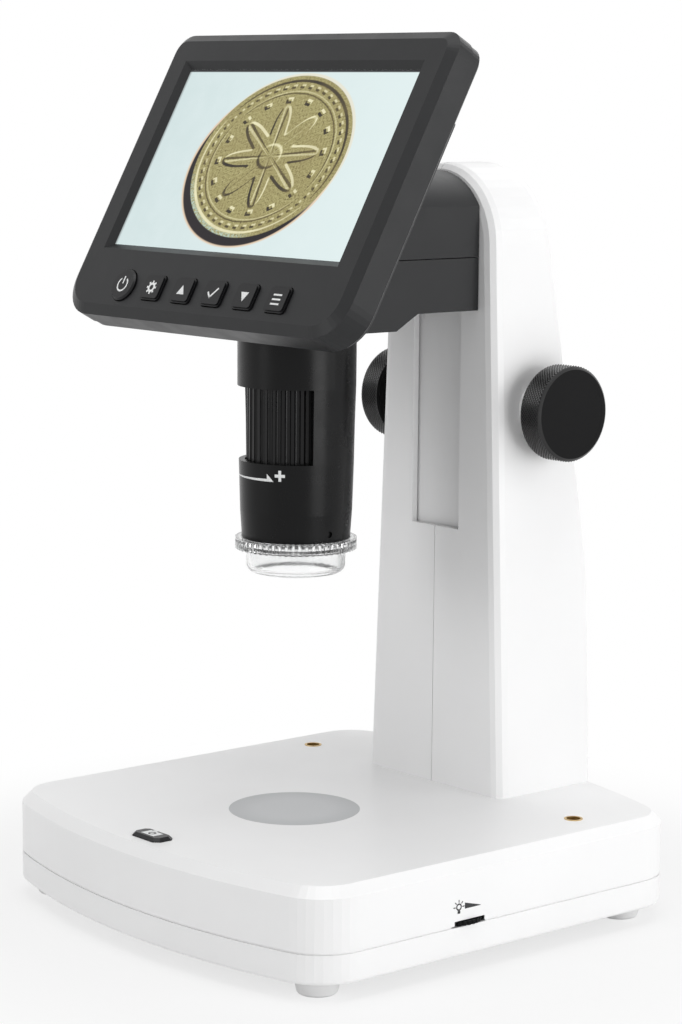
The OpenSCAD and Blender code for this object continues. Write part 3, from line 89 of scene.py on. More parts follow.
class Graph:
    """A node tree with a few short ways to add and join nodes."""

    def __init__(self, tree):
        self.tree = tree

    def put(self, socket, value):
        if isinstance(value, bpy.types.NodeSocket):
            self.tree.links.new(value, socket)
        else:
            socket.default_value = value

    def node(self, kind, inputs=None, **settings):
        made = self.tree.nodes.new(kind)
        for key, value in settings.items():
            setattr(made, key, value)
        for key, value in (inputs or {}).items():
            self.put(made.inputs[key], value)
        return made

    def maths(self, operation, *values):
        made = self.node("ShaderNodeMath", dict(enumerate(values)), operation=operation)
        return made.outputs[0]

    def vector(self, operation, *values):
        made = self.node("ShaderNodeVectorMath", dict(enumerate(values)), operation=operation)
        return made.outputs["Value" if operation in ("LENGTH", "DOT_PRODUCT") else "Vector"]

    def place(self):
        """The point in the row frame, in metres; it stays with the piece when its body moves."""
        return self.node("ShaderNodeTexCoord").outputs["Object"]

    def noise(self, size, detail=2.0, roughness=0.5, at=None, stretch=None):
        at = at or self.place()
        if stretch:
            at = self.vector("MULTIPLY", at, stretch)
        inputs = {"Vector": at, "Scale": 1 / size, "Detail": detail, "Roughness": roughness}
        return self.node("ShaderNodeTexNoise", inputs).outputs["Fac"]

    def range(self, value, low, high, to_low=0.0, to_high=1.0, smooth=False):
        """The value carried from low..high to to_low..to_high, and held at both ends."""
        inputs = {
            "Value": value, "From Min": low, "From Max": high, "To Min": to_low, "To Max": to_high,
        }
        kind = "SMOOTHSTEP" if smooth else "LINEAR"
        return self.node("ShaderNodeMapRange", inputs, interpolation_type=kind).outputs[0]

    def spread(self, noise, to_low=0.0, to_high=1.0):
        """A noise value spread over to_low..to_high."""
        return self.range(noise, NOISE_LOW, NOISE_HIGH, to_low, to_high)

    def mix(self, share, first, second):
        colours = [
            c if isinstance(c, bpy.types.NodeSocket) else (*c, 1) for c in (first, second)
        ]
        inputs = {0: share, 6: colours[0], 7: colours[1]}
        return self.node("ShaderNodeMix", inputs, data_type="RGBA").outputs[2]

    def bump(self, height, distance):
        return self.node("ShaderNodeBump", {"Height": height, "Distance": distance}).outputs[0]


class Shader(Graph):
    """A material, with the sockets of its surface set by their names."""

    def __init__(self, name):
        self.material = bpy.data.materials.new(name)
        self.material.use_nodes = True
        super().__init__(self.material.node_tree)
        self.surface = self.tree.nodes["Principled BSDF"]

    def set(self, **sockets):
        for key, value in sockets.items():
            self.put(self.surface.inputs[key.replace("_", " ")], value)


def shaded(colour, share):
    return tuple(c * share for c in colour)


# ---------------------------------------------------------------- materials

# Sizes of the marks in each material, and depths of the relief that they make
FLOW_CLOUDS, WIPE_MARKS = 38 * MM, 9 * MM
TURNED_LINES, TURNED_DEPTH, TURNED_SPOTS = 0.6 * MM, 0.01 * MM, 3 * MM
BOARD_TRACKS, TRACK_DEPTH, BOARD_WIPE = 2.4 * MM, 0.02 * MM, 2 * MM
CLEAR_HAZE, CLEAR_FLOW, CLEAR_DEPTH = 6 * MM, 1.6 * MM, 0.03 * MM
GLASS_BLOOM = 5 * MM
FROST_GRAIN, FROST_DEPTH = 0.5 * MM, 0.01 * MM
INK_PATCHES = 0.35 * MM
SLEEVE_CREASES, CREASE_DEPTH = 1.2 * MM, 0.03 * MM

# The place is multiplied by these: marks get narrow along the axis of turned lines, and long
# along the sleeve
LINE_SQUEEZE = 8.0
CREASE_STRETCH = (1, 0.12, 1)

# The board's tracks lie where its cells pass this range, and the clear plastic's haze in this one
TRACK_RANGE = (0.42, 0.46)
HAZE_RANGE = (0.35, 0.7)

# The frosted disc gets darker from the first radius to the second
DISC_FADE = (9 * MM, 19 * MM)

# The nosepiece's collar has ribs, and painted shade in the gaps between them, darkest just under
# its lip. A gap is where the wave round the collar is below GAP_WAVE, and the plain lip above the
# painted shade ends at LIP_DEPTH.
COLLAR_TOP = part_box("tube_housing")[0].z + 0.4 * MM
COLLAR_RIBS = 56
GAP_WAVE = (-0.45, -0.05)
LIP_DEPTH = (0.35, 0.5)
# Painted shade in the gaps, for the long slots and the short dashes: depth in millimetres where it
# fades, strength, shade
COLLAR_GAP_SHADES = (((3.6, 4.2), 0.45, 0.6), ((1.1, 1.5), 1.0, 0.05))


def moulding(
    name, colour, roughness, grain=0.45 * MM, depth=0.012 * MM, cloud=0.03, specular=0.5
):
    """Moulded plastic: a fine spark texture, faint flow clouds in the colour and uneven gloss."""
    s = Shader(name)
    clouds = s.noise(FLOW_CLOUDS, detail=3)
    lighter = tuple(min(1.0, c * (1 + cloud) + cloud * 0.01) for c in colour)
    spark = s.noise(grain, detail=3, roughness=0.6)
    wipe = s.noise(WIPE_MARKS, detail=4, roughness=0.6)
    s.set(
        Base_Color=s.mix(s.spread(clouds), shaded(colour, 1 - cloud), lighter),
        Roughness=s.spread(wipe, roughness - 0.04, roughness + 0.05),
        Normal=s.bump(spark, depth),
        Specular_IOR_Level=specular,
    )
    return s.material


def turned_metal(name, colour, roughness, axis):
    """Turned or drawn metal: fine lines across the axis, with a few darker spots."""
    s = Shader(name)
    stretch = tuple(LINE_SQUEEZE if i == axis else 1.0 for i in range(3))
    lines = s.noise(TURNED_LINES, detail=2, stretch=stretch)
    spots = s.noise(TURNED_SPOTS, detail=4, roughness=0.7)
    s.set(
        Base_Color=s.mix(s.range(spots, *PATCHES), colour, shaded(colour, 0.78)),
        Metallic=1.0,
        Roughness=s.spread(lines, roughness - 0.06, roughness + 0.08),
        Normal=s.bump(lines, TURNED_DEPTH),
    )
    return s.material


def solder_mask(name, colour, copper):
    """A circuit board: solder mask with fine tracks showing through as a change of shade."""
    s = Shader(name)
    inputs = {"Vector": s.place(), "Scale": 1 / BOARD_TRACKS}
    cells = s.node("ShaderNodeTexVoronoi", inputs, distance="MANHATTAN", feature="F2")
    tracks = s.range(cells.outputs["Distance"], *TRACK_RANGE)
    s.set(
        Base_Color=s.mix(tracks, colour, copper),
        Roughness=s.spread(s.noise(BOARD_WIPE), 0.28, 0.4),
        Normal=s.bump(tracks, TRACK_DEPTH),
    )
    return s.material


def clear_plastic():
    """Clear moulded plastic, with a little haze, shallow flow marks and painted shade in the gaps
    of the collar's ribs.
    """
    s = Shader("clear_moulding")
    haze = s.noise(CLEAR_HAZE, detail=3)
    clear = s.mix(s.range(haze, *HAZE_RANGE), (1.0, 1.0, 1.0), (0.965, 0.975, 0.975))
    from_optic = s.vector("SUBTRACT", s.place(), tuple(OPTIC))
    parts = s.node("ShaderNodeSeparateXYZ", {0: from_optic}).outputs
    turn = s.maths("ARCTAN2", parts[1], parts[0])
    gap = s.range(s.maths("COSINE", s.maths("MULTIPLY", turn, COLLAR_RIBS)), *GAP_WAVE)
    depth = s.maths("DIVIDE", s.maths("SUBTRACT", COLLAR_TOP - OPTIC.z, parts[2]), MM)
    under_lip = s.range(depth, *LIP_DEPTH)
    # Painted shade in the gaps between the collar's ribs, under its lip
    for fade, strength, shade in COLLAR_GAP_SHADES:
        gap_shade = s.maths("MULTIPLY", under_lip, s.range(depth, *fade, strength, 0.0))
        clear = s.mix(s.maths("MULTIPLY", gap_shade, gap), clear, (shade, shade, shade))
    s.set(
        Base_Color=clear,
        Roughness=s.spread(haze, 0.06, 0.16),
        Normal=s.bump(s.noise(CLEAR_FLOW, detail=3), CLEAR_DEPTH),
        Transmission_Weight=0.95,
        IOR=1.33,
    )
    return s.material


def lens_glass(name, tint):
    """Coated glass, with a faint bloom in its coating."""
    s = Shader(name)
    bloom = s.noise(GLASS_BLOOM, detail=2)
    s.set(
        Base_Color=s.mix(s.spread(bloom), tint, shaded(tint, 0.9)),
        Roughness=s.spread(bloom, 0.02, 0.05),
        Transmission_Weight=0.9,
        IOR=1.52,
    )
    return s.material


def frosted_disc():
    """Frosted acrylic over a white backlight: pale, slightly darker towards its rim, fine grain."""
    s = Shader("frosted_acrylic")
    out = s.vector("LENGTH", s.vector("SUBTRACT", s.place(), tuple(OPTIC)))
    frost = s.noise(FROST_GRAIN, detail=3, roughness=0.7)
    face = s.mix(s.range(out, *DISC_FADE, smooth=True), (0.56, 0.57, 0.58), (0.48, 0.49, 0.50))
    s.set(
        Base_Color=s.mix(s.spread(frost, 0, 0.12), face, (0.70, 0.71, 0.72)),
        Roughness=s.spread(frost, 0.42, 0.55),
        Normal=s.bump(frost, FROST_DEPTH),
    )
    return s.material


def ink(name, colour):
    """Pad-printed ink, a little uneven."""
    s = Shader(name)
    patches = s.noise(INK_PATCHES, detail=3, roughness=0.65)
    s.set(
        Base_Color=s.mix(s.range(patches, *PATCHES), colour, shaded(colour, 0.82)),
        Roughness=s.spread(patches, 0.42, 0.55),
    )
    return s.material


def cell_sleeve():
    """Heat-shrunk sleeve, with faint lengthways creases."""
    s = Shader("cell_sleeve")
    creases = s.noise(SLEEVE_CREASES, detail=3, stretch=CREASE_STRETCH)
    s.set(
        Base_Color=s.mix(s.spread(creases), (0.04, 0.13, 0.30), (0.06, 0.17, 0.36)),
        Roughness=0.3,
        Normal=s.bump(creases, CREASE_DEPTH),
    )
    return s.material


WHITE = moulding("white_moulding", (0.884, 0.884, 0.886), 0.36, depth=0.008 * MM, cloud=0.012)
STRIP_WHITE = moulding("white_strip", (0.84, 0.84, 0.842), 0.5, depth=0.008 * MM, cloud=0.012)
BLACK = moulding(
    "black_moulding", (0.0150, 0.0155, 0.0165), 0.38, 0.4 * MM, 0.012 * MM, 0.08, specular=0.25
)
TUBE_BLACK = moulding(
    "tube_black", (0.0022, 0.0023, 0.0026), 0.28, 0.3 * MM, 0.003 * MM, 0.08, specular=0.17
)
KNOB_BLACK = moulding(
    "knob_black", (0.0040, 0.0040, 0.0044), 0.42, 0.35 * MM, 0.012 * MM, 0.08, specular=0.09
)
KNURL_BLACK = moulding(
    "knurl_black", (0.0075, 0.0075, 0.0080), 0.30, 0.3 * MM, 0.004 * MM, 0.08, specular=0.45
)
RING_BLACK = moulding(
    "ring_black", (0.0040, 0.0040, 0.0044), 0.30, 0.3 * MM, 0.004 * MM, 0.08, specular=0.22
)
KEY_BLACK = moulding(
    "key_black", (0.009, 0.009, 0.010), 0.32, 0.3 * MM, 0.006 * MM, 0.06, specular=0.24
)
INNER_BLACK = moulding("inner_black", (0.016, 0.016, 0.017), 0.5, cloud=0.08, specular=0.3)
PANEL_BLACK = moulding(
    "panel_black", (0.010, 0.010, 0.011), 0.22, 0.3 * MM, 0.003 * MM, 0.06, specular=0.4
)
RUBBER = moulding("foot_rubber", (0.80, 0.80, 0.80), 0.62, grain=0.6 * MM, depth=0.02 * MM)
BRASS = turned_metal("turned_brass", (0.63, 0.43, 0.16), 0.30, axis=2)
ZINC = turned_metal("zinc_plate", (0.55, 0.56, 0.58), 0.34, axis=2)
STEEL = turned_metal("ground_steel", (0.62, 0.63, 0.65), 0.24, axis=0)
GREEN_BOARD = solder_mask("green_mask", (0.01, 0.11, 0.05), (0.03, 0.20, 0.09))
WHITE_BOARD = solder_mask("white_mask", (0.78, 0.78, 0.76), (0.68, 0.68, 0.66))
CLEAR = clear_plastic()
LENS = lens_glass("coated_glass", (0.78, 0.86, 0.90))
COVER = lens_glass("cover_plate", (0.90, 0.94, 0.95))
FROST = frosted_disc()
SLEEVE = cell_sleeve()
WHITE_INK = ink("white_ink", (0.84, 0.85, 0.85))
BLACK_INK = ink("black_ink", (0.018, 0.018, 0.02))

FINISHES = {
    WHITE: ["base_top_cover", "base_bottom_tray", "column_shell_left", "column_shell_right"],
    STRIP_WHITE: ["dust_strip"],
    BLACK: ["head_upper_shell", "head_lower_shell", "display_bezel", "display_rear_cover"],
    TUBE_BLACK: ["tube_housing"],
    KNOB_BLACK: ["focus_knob_left", "focus_knob_right", "dimmer_wheel"],
    RING_BLACK: ["zoom_ring"],
    KEY_BLACK: [
        "snapshot_button", "power_key", "settings_key", "up_key", "confirm_key", "down_key",
        "mode_key",
    ],
    INNER_BLACK: [
        "carriage", "rod_holder_lower", "rod_holder_upper", "dimmer_control", "power_inlet",
        "lens_cell", "sensor_mount",
    ],
    RUBBER: ["rubber_feet"],
    BRASS: ["clip_sockets", "shaft_bushes", "pinion"],
    ZINC: [
        "base_screws", "column_screws", "head_screws", "display_screws", "card_socket",
        "usb_socket",
    ],
    STEEL: ["guide_rods", "focus_shaft", "rack"],
    GREEN_BOARD: [
        "stage_light_board", "snapshot_switch", "base_circuit_board", "image_sensor_board",
        "main_board", "key_switch_board",
    ],
    WHITE_BOARD: ["light_ring_board"],
    CLEAR: ["nosepiece"],
    LENS: ["front_lens", "rear_lens"],
    COVER: ["display_window"],
    PANEL_BLACK: ["lcd_panel"],
    FROST: ["stage_window"],
    SLEEVE: ["battery_cell"],
}


def dress_nodes():
    for material, names in FINISHES.items():
        for name in names:
            nodes[name].data.materials.clear()
            nodes[name].data.materials.append(material)


# ---------------------------------------------------------------- pieces and flat symbols

# A printed symbol lies this far off the surface that carries it
PRINT_LIFT = 0.03 * MM

# Symbols are drawn in millimetres, and this is the usual width of their lines
LINE = 0.5

# Where the dimmer's symbols stand: above the wheel's top, and along the side from its middle
DIMMER_SYMBOL_RISE = 4.1 * MM
LAMP_SYMBOL_SHIFT = -3.9 * MM
WEDGE_SYMBOL_SHIFT = -1.8 * MM

# The arrow on the tube: how far it lies under the ring, its ends and the start of its barb in
# degrees round the tube, and half its width at the ends of its line, at the bend and at the barb
ARROW_DROP = 3.2 * MM
ARROW_START, ARROW_NECK, ARROW_TIP = -128.0, -69.6, -62.2
ARROW_THIN, ARROW_THICK, ARROW_BEND, ARROW_BARB = 0.16 * MM, 0.36 * MM, 0.75 * MM, 1.75 * MM

# The plus sign beyond its tip: its middle in degrees and above the arrow, and half its size
PLUS_AT = -55.6
PLUS_RISE, PLUS_ARM, PLUS_BAR = 1.3 * MM, 1.5 * MM, 0.42 * MM

# Rays at the tube start this far from its middle, outside its surface
OUTSIDE_TUBE = 0.05

# Corners closer than this are joined
SAME_POINT = 1e-7


def stretches(start, end, count):
    """Both ends of each of count equal stretches from start to end."""
    at = [start + (end - start) * i / count for i in range(count + 1)]
    return list(zip(at, at[1:]))


def add_object(name, bm, *materials):
    """An object from a bmesh, with its material slots filled in order."""
    mesh = bpy.data.meshes.new(name)
    bm.to_mesh(mesh)
    bm.free()
    for material in materials:
        mesh.materials.append(material)
    made = bpy.data.objects.new(name, mesh)
    bpy.context.scene.collection.objects.link(made)
    return made


def object_from_faces(name, faces, material):
    """An object from lists of corner points in the row frame."""
    bm = bmesh.new()
    for face in faces:
        bm.faces.new([bm.verts.new(p) for p in face])
    bmesh.ops.remove_doubles(bm, verts=bm.verts, dist=SAME_POINT)
    return add_object(name, bm, material)


def piece_from_faces(name, faces, body, material):
    """An object from lists of corner points, which rides on body."""
    piece = object_from_faces(name, faces, material)
    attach(piece, body)


def symbol(name, faces, centre, right, up, body, material):
    """A printed symbol: flat faces in millimetres, laid on the plane through centre."""
    lift = right.cross(up) * PRINT_LIFT
    laid = [
        [centre + right * (x * MM) + up * (y * MM) + lift for x, y in face] for face in faces
    ]
    piece_from_faces(name, laid, body, material)


def rectangle(x, y, w, h):
    """A rectangle round a middle."""
    left, right, low, high = x - w / 2, x + w / 2, y - h / 2, y + h / 2
    return [[(left, low), (right, low), (right, high), (left, high)]]


def arc_band(x, y, inner, outer, start, end, steps=24):
    """A band between two radii, from one angle in degrees to another."""
    faces = []
    for ends in stretches(start, end, steps):
        (ca, sa), (cb, sb) = ((math.cos(math.radians(d)), math.sin(math.radians(d))) for d in ends)
        faces.append(
            [
                (x + inner * ca, y + inner * sa),
                (x + outer * ca, y + outer * sa),
                (x + outer * cb, y + outer * sb),
                (x + inner * cb, y + inner * sb),
            ]
        )
    return faces


def stroke(points, width):
    """A line of the given width through the points, one quad a stretch."""
    faces = []
    for (ax, ay), (bx, by) in zip(points, points[1:]):
        length = math.hypot(bx - ax, by - ay)
        ux, uy = (bx - ax) / length, (by - ay) / length
        ex, ey = ux * width / 2, uy * width / 2
        faces.append(
            [
                (ax - ex + ey, ay - ey - ex),
                (bx + ex + ey, by + ey - ex),
                (bx + ex - ey, by + ey + ex),
                (ax - ex - ey, ay - ey + ex),
            ]
        )
    return faces


def gear_shape(teeth, inner, root, tip):
    """A gear wheel with a hole, whose teeth start a little inside its root circle."""
    faces = arc_band(0, 0, inner, root, 0, 360, 32)
    pitch = 360 / teeth
    half = pitch * 0.22
    for t in range(teeth):
        faces += arc_band(0, 0, root * 0.98, tip, pitch * t - half, pitch * t + half, 3)
    return faces


def plate_with_hole(width, height, radius):
    """A rectangular plate round a circular hole, as quads."""
    corner = math.degrees(math.atan2(height, width))
    angles = sorted({*range(0, 361, 15), corner, 180 - corner, 180 + corner, 360 - corner})
    edge, hole = [], []
    for degrees in angles:
        c, s = math.cos(math.radians(degrees)), math.sin(math.radians(degrees))
        out = min(width / 2 / max(abs(c), 1e-9), height / 2 / max(abs(s), 1e-9))
        edge.append((out * c, out * s))
        hole.append((radius * c, radius * s))
    return [[hole[i], edge[i], edge[i + 1], hole[i + 1]] for i in range(len(angles) - 1)]


def key_symbols():
    """White symbols on the six keys under the screen."""
    shapes = {
        "power_key": arc_band(0, 0, 1.75, 2.25, 125, 415) + rectangle(0, 1.3, LINE, 2.2),
        "settings_key": gear_shape(8, 0.75, 1.45, 2.0),
        "up_key": [[(-1.6, -1.2), (1.6, -1.2), (0, 1.5)]],
        "confirm_key": stroke([(-1.7, 0.1), (-0.5, -1.2), (1.8, 1.4)], 0.55),
        "down_key": [[(-1.6, 1.2), (0, -1.5), (1.6, 1.2)]],
        "mode_key": [face for y in (1.3, 0, -1.3) for face in rectangle(0, y, 3.4, LINE)],
    }
    for key, faces in shapes.items():
        centre = on_plane(middle(key), DISPLAY_OUT, reach(key, DISPLAY_OUT))
        symbol(
            key + "_symbol", faces, centre, ACROSS, DISPLAY_UP, key, WHITE_INK
        )


def camera_symbol():
    """A camera pictogram on the snapshot button."""
    at = middle("snapshot_button")
    centre = Vector((0, at.y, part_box("snapshot_button")[1].z))
    housing, finder = plate_with_hole(5.6, 3.4, 1.15), rectangle(-1.2, 2.0, 1.7, 0.7)
    faces = housing + arc_band(0, 0, 0, 0.62, 0, 360, 16) + finder
    symbol(
        "snapshot_symbol", faces, centre, ACROSS, REARWARD, "snapshot_button", WHITE_INK,
    )


def dimmer_symbols():
    """A lamp and a wedge over the dimmer wheel, on the base's right side."""
    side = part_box("base_top_cover")[1].x
    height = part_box("dimmer_wheel")[1].z + DIMMER_SYMBOL_RISE
    wheel_y = middle("dimmer_wheel").y
    lamp = arc_band(0, 0, 0.6, 1.0, 0, 360, 20) + rectangle(0, -1.4, 0.95, 0.8)
    for degrees in (0, 45, 90, 135, 180):
        c, s = math.cos(math.radians(degrees)), math.sin(math.radians(degrees))
        lamp += stroke([(1.35 * c, 1.35 * s), (1.8 * c, 1.8 * s)], 0.3)
    wedge = [[(0, -0.8), (5.6, -0.8), (5.6, -0.65), (0, 0.85)]]
    for name, faces, shift in (
        ("dimmer_lamp_symbol", lamp, LAMP_SYMBOL_SHIFT),
        ("dimmer_wedge_symbol", wedge, WEDGE_SYMBOL_SHIFT),
    ):
        centre = Vector((side, wheel_y + shift, height))
        symbol(name, faces, centre, REARWARD, UPRIGHT, "stand", BLACK_INK)


def on_tube(faces):
    """Faces given as (angle in degrees, height in metres), wrapped on the tube's outer surface."""
    mesh = nodes["tube_housing"].data
    tree = BVHTree.FromPolygons(
        [v.co for v in mesh.vertices], [p.vertices for p in mesh.polygons]
    )

    def wrapped(degrees, height):
        out = Vector((math.cos(math.radians(degrees)), math.sin(math.radians(degrees)), 0))
        start = Vector((OPTIC.x, OPTIC.y, height)) + out * OUTSIDE_TUBE
        return tree.ray_cast(start, -out)[0] + out * PRINT_LIFT

    return [[wrapped(*corner) for corner in face] for face in faces]


def tube_symbols():
    """The arrow and the plus sign under the cut-out: they show which way the zoom ring turns."""
    line_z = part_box("zoom_ring")[0].z - ARROW_DROP
    steps = 16
    along = stretches(ARROW_START, ARROW_NECK, steps)
    half_widths = stretches(ARROW_THIN, ARROW_THICK, steps)
    faces = [
        [(a, line_z - wa), (b, line_z - wb), (b, line_z + wb), (a, line_z + wa)]
        for (a, b), (wa, wb) in zip(along, half_widths)
    ]
    low = line_z - ARROW_THICK
    neck_top = (ARROW_NECK, line_z + ARROW_THICK)
    bend = (ARROW_NECK + ARROW_TIP) / 2
    bend_top = (bend, line_z + ARROW_BEND)
    faces.append([(ARROW_NECK, low), (bend, low), bend_top, neck_top])
    faces.append([neck_top, bend_top, (ARROW_NECK, line_z + ARROW_BARB)])
    faces.append([(bend, low), (ARROW_TIP, low), bend_top])

    plus_z = line_z + PLUS_RISE
    degrees_per_metre = math.degrees(1 / (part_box("tube_housing")[1].x - OPTIC.x))
    arm, bar = PLUS_ARM * degrees_per_metre, PLUS_BAR * degrees_per_metre
    parts = [(a, b, -PLUS_BAR, PLUS_BAR) for a, b in stretches(PLUS_AT - arm, PLUS_AT + arm, 6)]
    for low, high in ((-PLUS_ARM, -PLUS_BAR), (PLUS_BAR, PLUS_ARM)):
        for a, b in ((PLUS_AT - bar, PLUS_AT), (PLUS_AT, PLUS_AT + bar)):
            parts.append((a, b, low, high))
    for a, b, low, high in parts:
        faces.append(
            [(a, plus_z + low), (b, plus_z + low), (b, plus_z + high), (a, plus_z + high)]
        )
    piece_from_faces("zoom_direction_symbol", on_tube(faces), "head", WHITE_INK)


# ---------------------------------------------------------------- knurled rims

# The knurling starts this far behind the knob's face. Its valleys lie just off the knob's surface.
KNURL_BACK = 7.4 * MM
KNURL_WIDTH = 6.8 * MM
KNURL_HEIGHT = 0.3 * MM
KNURL_VALLEY = 0.02 * MM
KNURL_COLUMNS = 160
KNURL_ROWS = 14

# The plain lip in front of the knurling: how far each of its rings lies beyond the knob's face,
# and how far inside the knob's radius. The last two rings make the flat ring on the face.
LIP_RINGS = ((-0.3 * MM, 0.3 * MM), (0.02 * MM, 0.75 * MM), (0.02 * MM, 2.2 * MM))


def knurled_rim(name, knob, side):
    """A band of diamond knurling round a knob's rim, where each second grid point is a peak, and
    the plain lip in front of it. The flat ring has the knob's own material."""
    low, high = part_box(knob)
    radius = (high.z - low.z) / 2
    face = max(abs(low.x), abs(high.x))
    bm = bmesh.new()
    grid = []

    def add_ring(out, radii):
        ring = []
        for i, r in enumerate(radii):
            a = 2 * math.pi * i / KNURL_COLUMNS
            point = (side * out, SHAFT.y + r * math.cos(a), SHAFT.z + r * math.sin(a))
            ring.append(bm.verts.new(point))
        grid.append(ring)

    pitch = KNURL_WIDTH / KNURL_ROWS
    for j in range(KNURL_ROWS + 1):
        peaks = [(i + j) % 2 == 0 and 0 < j < KNURL_ROWS for i in range(KNURL_COLUMNS)]
        radii = [radius + (KNURL_HEIGHT if peak else KNURL_VALLEY) for peak in peaks]
        add_ring(face - KNURL_BACK + pitch * j, radii)
    for beyond, inside in LIP_RINGS:
        add_ring(face + beyond, [radius - inside] * KNURL_COLUMNS)

    last = len(grid) - 2
    for j in range(last + 1):
        for i in range(KNURL_COLUMNS):
            after = (i + 1) % KNURL_COLUMNS
            a, b, c, d = grid[j][i], grid[j][after], grid[j + 1][after], grid[j + 1][i]
            even = (i + j) % 2 == 0
            for triangle in ((a, b, d), (b, c, d)) if even else ((a, b, c), (a, c, d)):
                made = bm.faces.new(triangle if side < 0 else triangle[::-1])
                made.material_index = 1 if j == last else 0
    rim = add_object(name, bm, KNURL_BLACK, KNOB_BLACK)
    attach(rim, "focus_drive")


# ---------------------------------------------------------------- the picture on the display

PICTURE_WIDTH = 97.4 * MM
PICTURE_HEIGHT = 55.1 * MM
PICTURE_LIFT = 0.02 * MM
PICTURE_COLUMNS = 6
PICTURE_ROWS = 4

# The token in the picture: its middle in millimetres from the picture's, its half axes in
# millimetres, and how far it leans
TOKEN_X = 2.6
TOKEN_Y = 1.4
TOKEN_LONG = 30.8
TOKEN_SHORT = 24.4
TOKEN_LEAN = math.radians(5)

# The token's relief. Radii and sizes are shares of its own radius, and a ring is its two radii and
# its softness. Beads, petals and ticks are counted, and marks rise where a wave round the token
# passes their range.
BEADS, PETALS, TICKS = 48, 8, 16
BEAD_WAVE, VEIN_WAVE, TICK_WAVE = (0.45, 0.75), (0.965, 0.995), (0.8, 0.9)
BEAD_RING = (0.855, 0.88, 0.008)
THIN_RING = (0.785, 0.80, 0.006)
TICK_RING = (0.67, 0.72, 0.006)
RIM_RANGE, BOSS_RANGE = (0.925, 0.945), (0.13, 0.16, 1.0, 0.0)
PETAL_SHORT, PETAL_GROWTH, PETAL_SOFT = 0.30, 0.34, 0.035
PIT_SIZE = 0.02
BEAD_HEIGHT, THIN_HEIGHT, BOSS_HEIGHT, PIT_HEIGHT, VEIN_HEIGHT = 0.6, 0.35, 0.8, 0.85, -0.45

# Half the step between the two heights that give the slope, and the slope that is full light
RELIEF_STEP = (0.010, 0.012)
FULL_SLOPE = 0.75

# The light in the picture comes from the token's upper right, so this points to its shaded edge
SHADED_EDGE = (-0.62, -0.78, 0)

# The brass in the picture, from full shade to full light
BRASS_SHADES = (
    (0.0, (0.014, 0.011, 0.006, 1)),
    (0.36, (0.13, 0.105, 0.035, 1)),
    (0.5, (0.365, 0.325, 0.125, 1)),
    (0.64, (0.50, 0.46, 0.22, 1)),
    (1.0, (0.82, 0.78, 0.50, 1)),
)
# On the brass: tarnish, and a sheen in flecks on the rim's shaded edge, with their sizes as shares
# of the token's radius
TARNISH, TARNISH_SIZE, TARNISH_RANGE = (0.26, 0.20, 0.075), 0.35, (0.35, 0.8, 0.0, 0.4)
SHEEN, FLECK_SIZE, FLECK_RANGE = (0.50, 0.66, 0.58), 0.03, (0.42, 0.58)
SHEEN_FACING, SHEEN_RADII = (0.62, 0.93, 0.0, 0.85), (0.945, 0.96)

# The ground runs from the left to the right colour, under haze and specks. A painted shadow of the
# bezel fades in at its left and top edges. Distances in the ranges are in millimetres.
GROUND_LEFT, GROUND_RIGHT, GROUND_RUN = (0.62, 0.735, 0.735), (0.73, 0.84, 0.835), (-48, 48)
HAZE, HAZE_SIZE, HAZE_SHARE = (0.78, 0.87, 0.88), 7 * MM, (0.35, 0.75, 0.0, 0.22)
SPECK, SPECK_SIZE, SPECK_SHARE = (0.50, 0.60, 0.62), 0.9 * MM, (0.72, 0.8, 0.0, 0.2)
LEFT_BEZEL_SHADOW, LEFT_BEZEL_SHADOW_SHARE = (0.22, 0.24, 0.24), (-48.7, -47.6, 0.75, 0.0)
TOP_BEZEL_SHADOW, TOP_BEZEL_SHADOW_SHARE = (0.012, 0.012, 0.013), (26.75, 27.1)

# Soft ellipses behind the token: colour, shift in millimetres and growth, and the range in which
# each fades out with the radius
FRINGE = (0.80, 0.50, 0.26), (-1.5, -2.3, 1.03), (0.985, 1.012, 0.7, 0.0)
SHADOW = (0.006, 0.002, 0.003), (-1.6, -2.5, 1.004), (0.988, 1.008, 1.0, 0.0)
HALO = (0.84, 0.72, 0.50), (0.5, 0.4, 1.012), (0.99, 1.012, 0.55, 0.0)
# The halo is on the lit side only, and the token's face ends in this range
HALO_FACING, FACE_EDGE = (-0.2, 0.3, 1.0, 0.0), (0.992, 1.006, 1.0, 0.0)


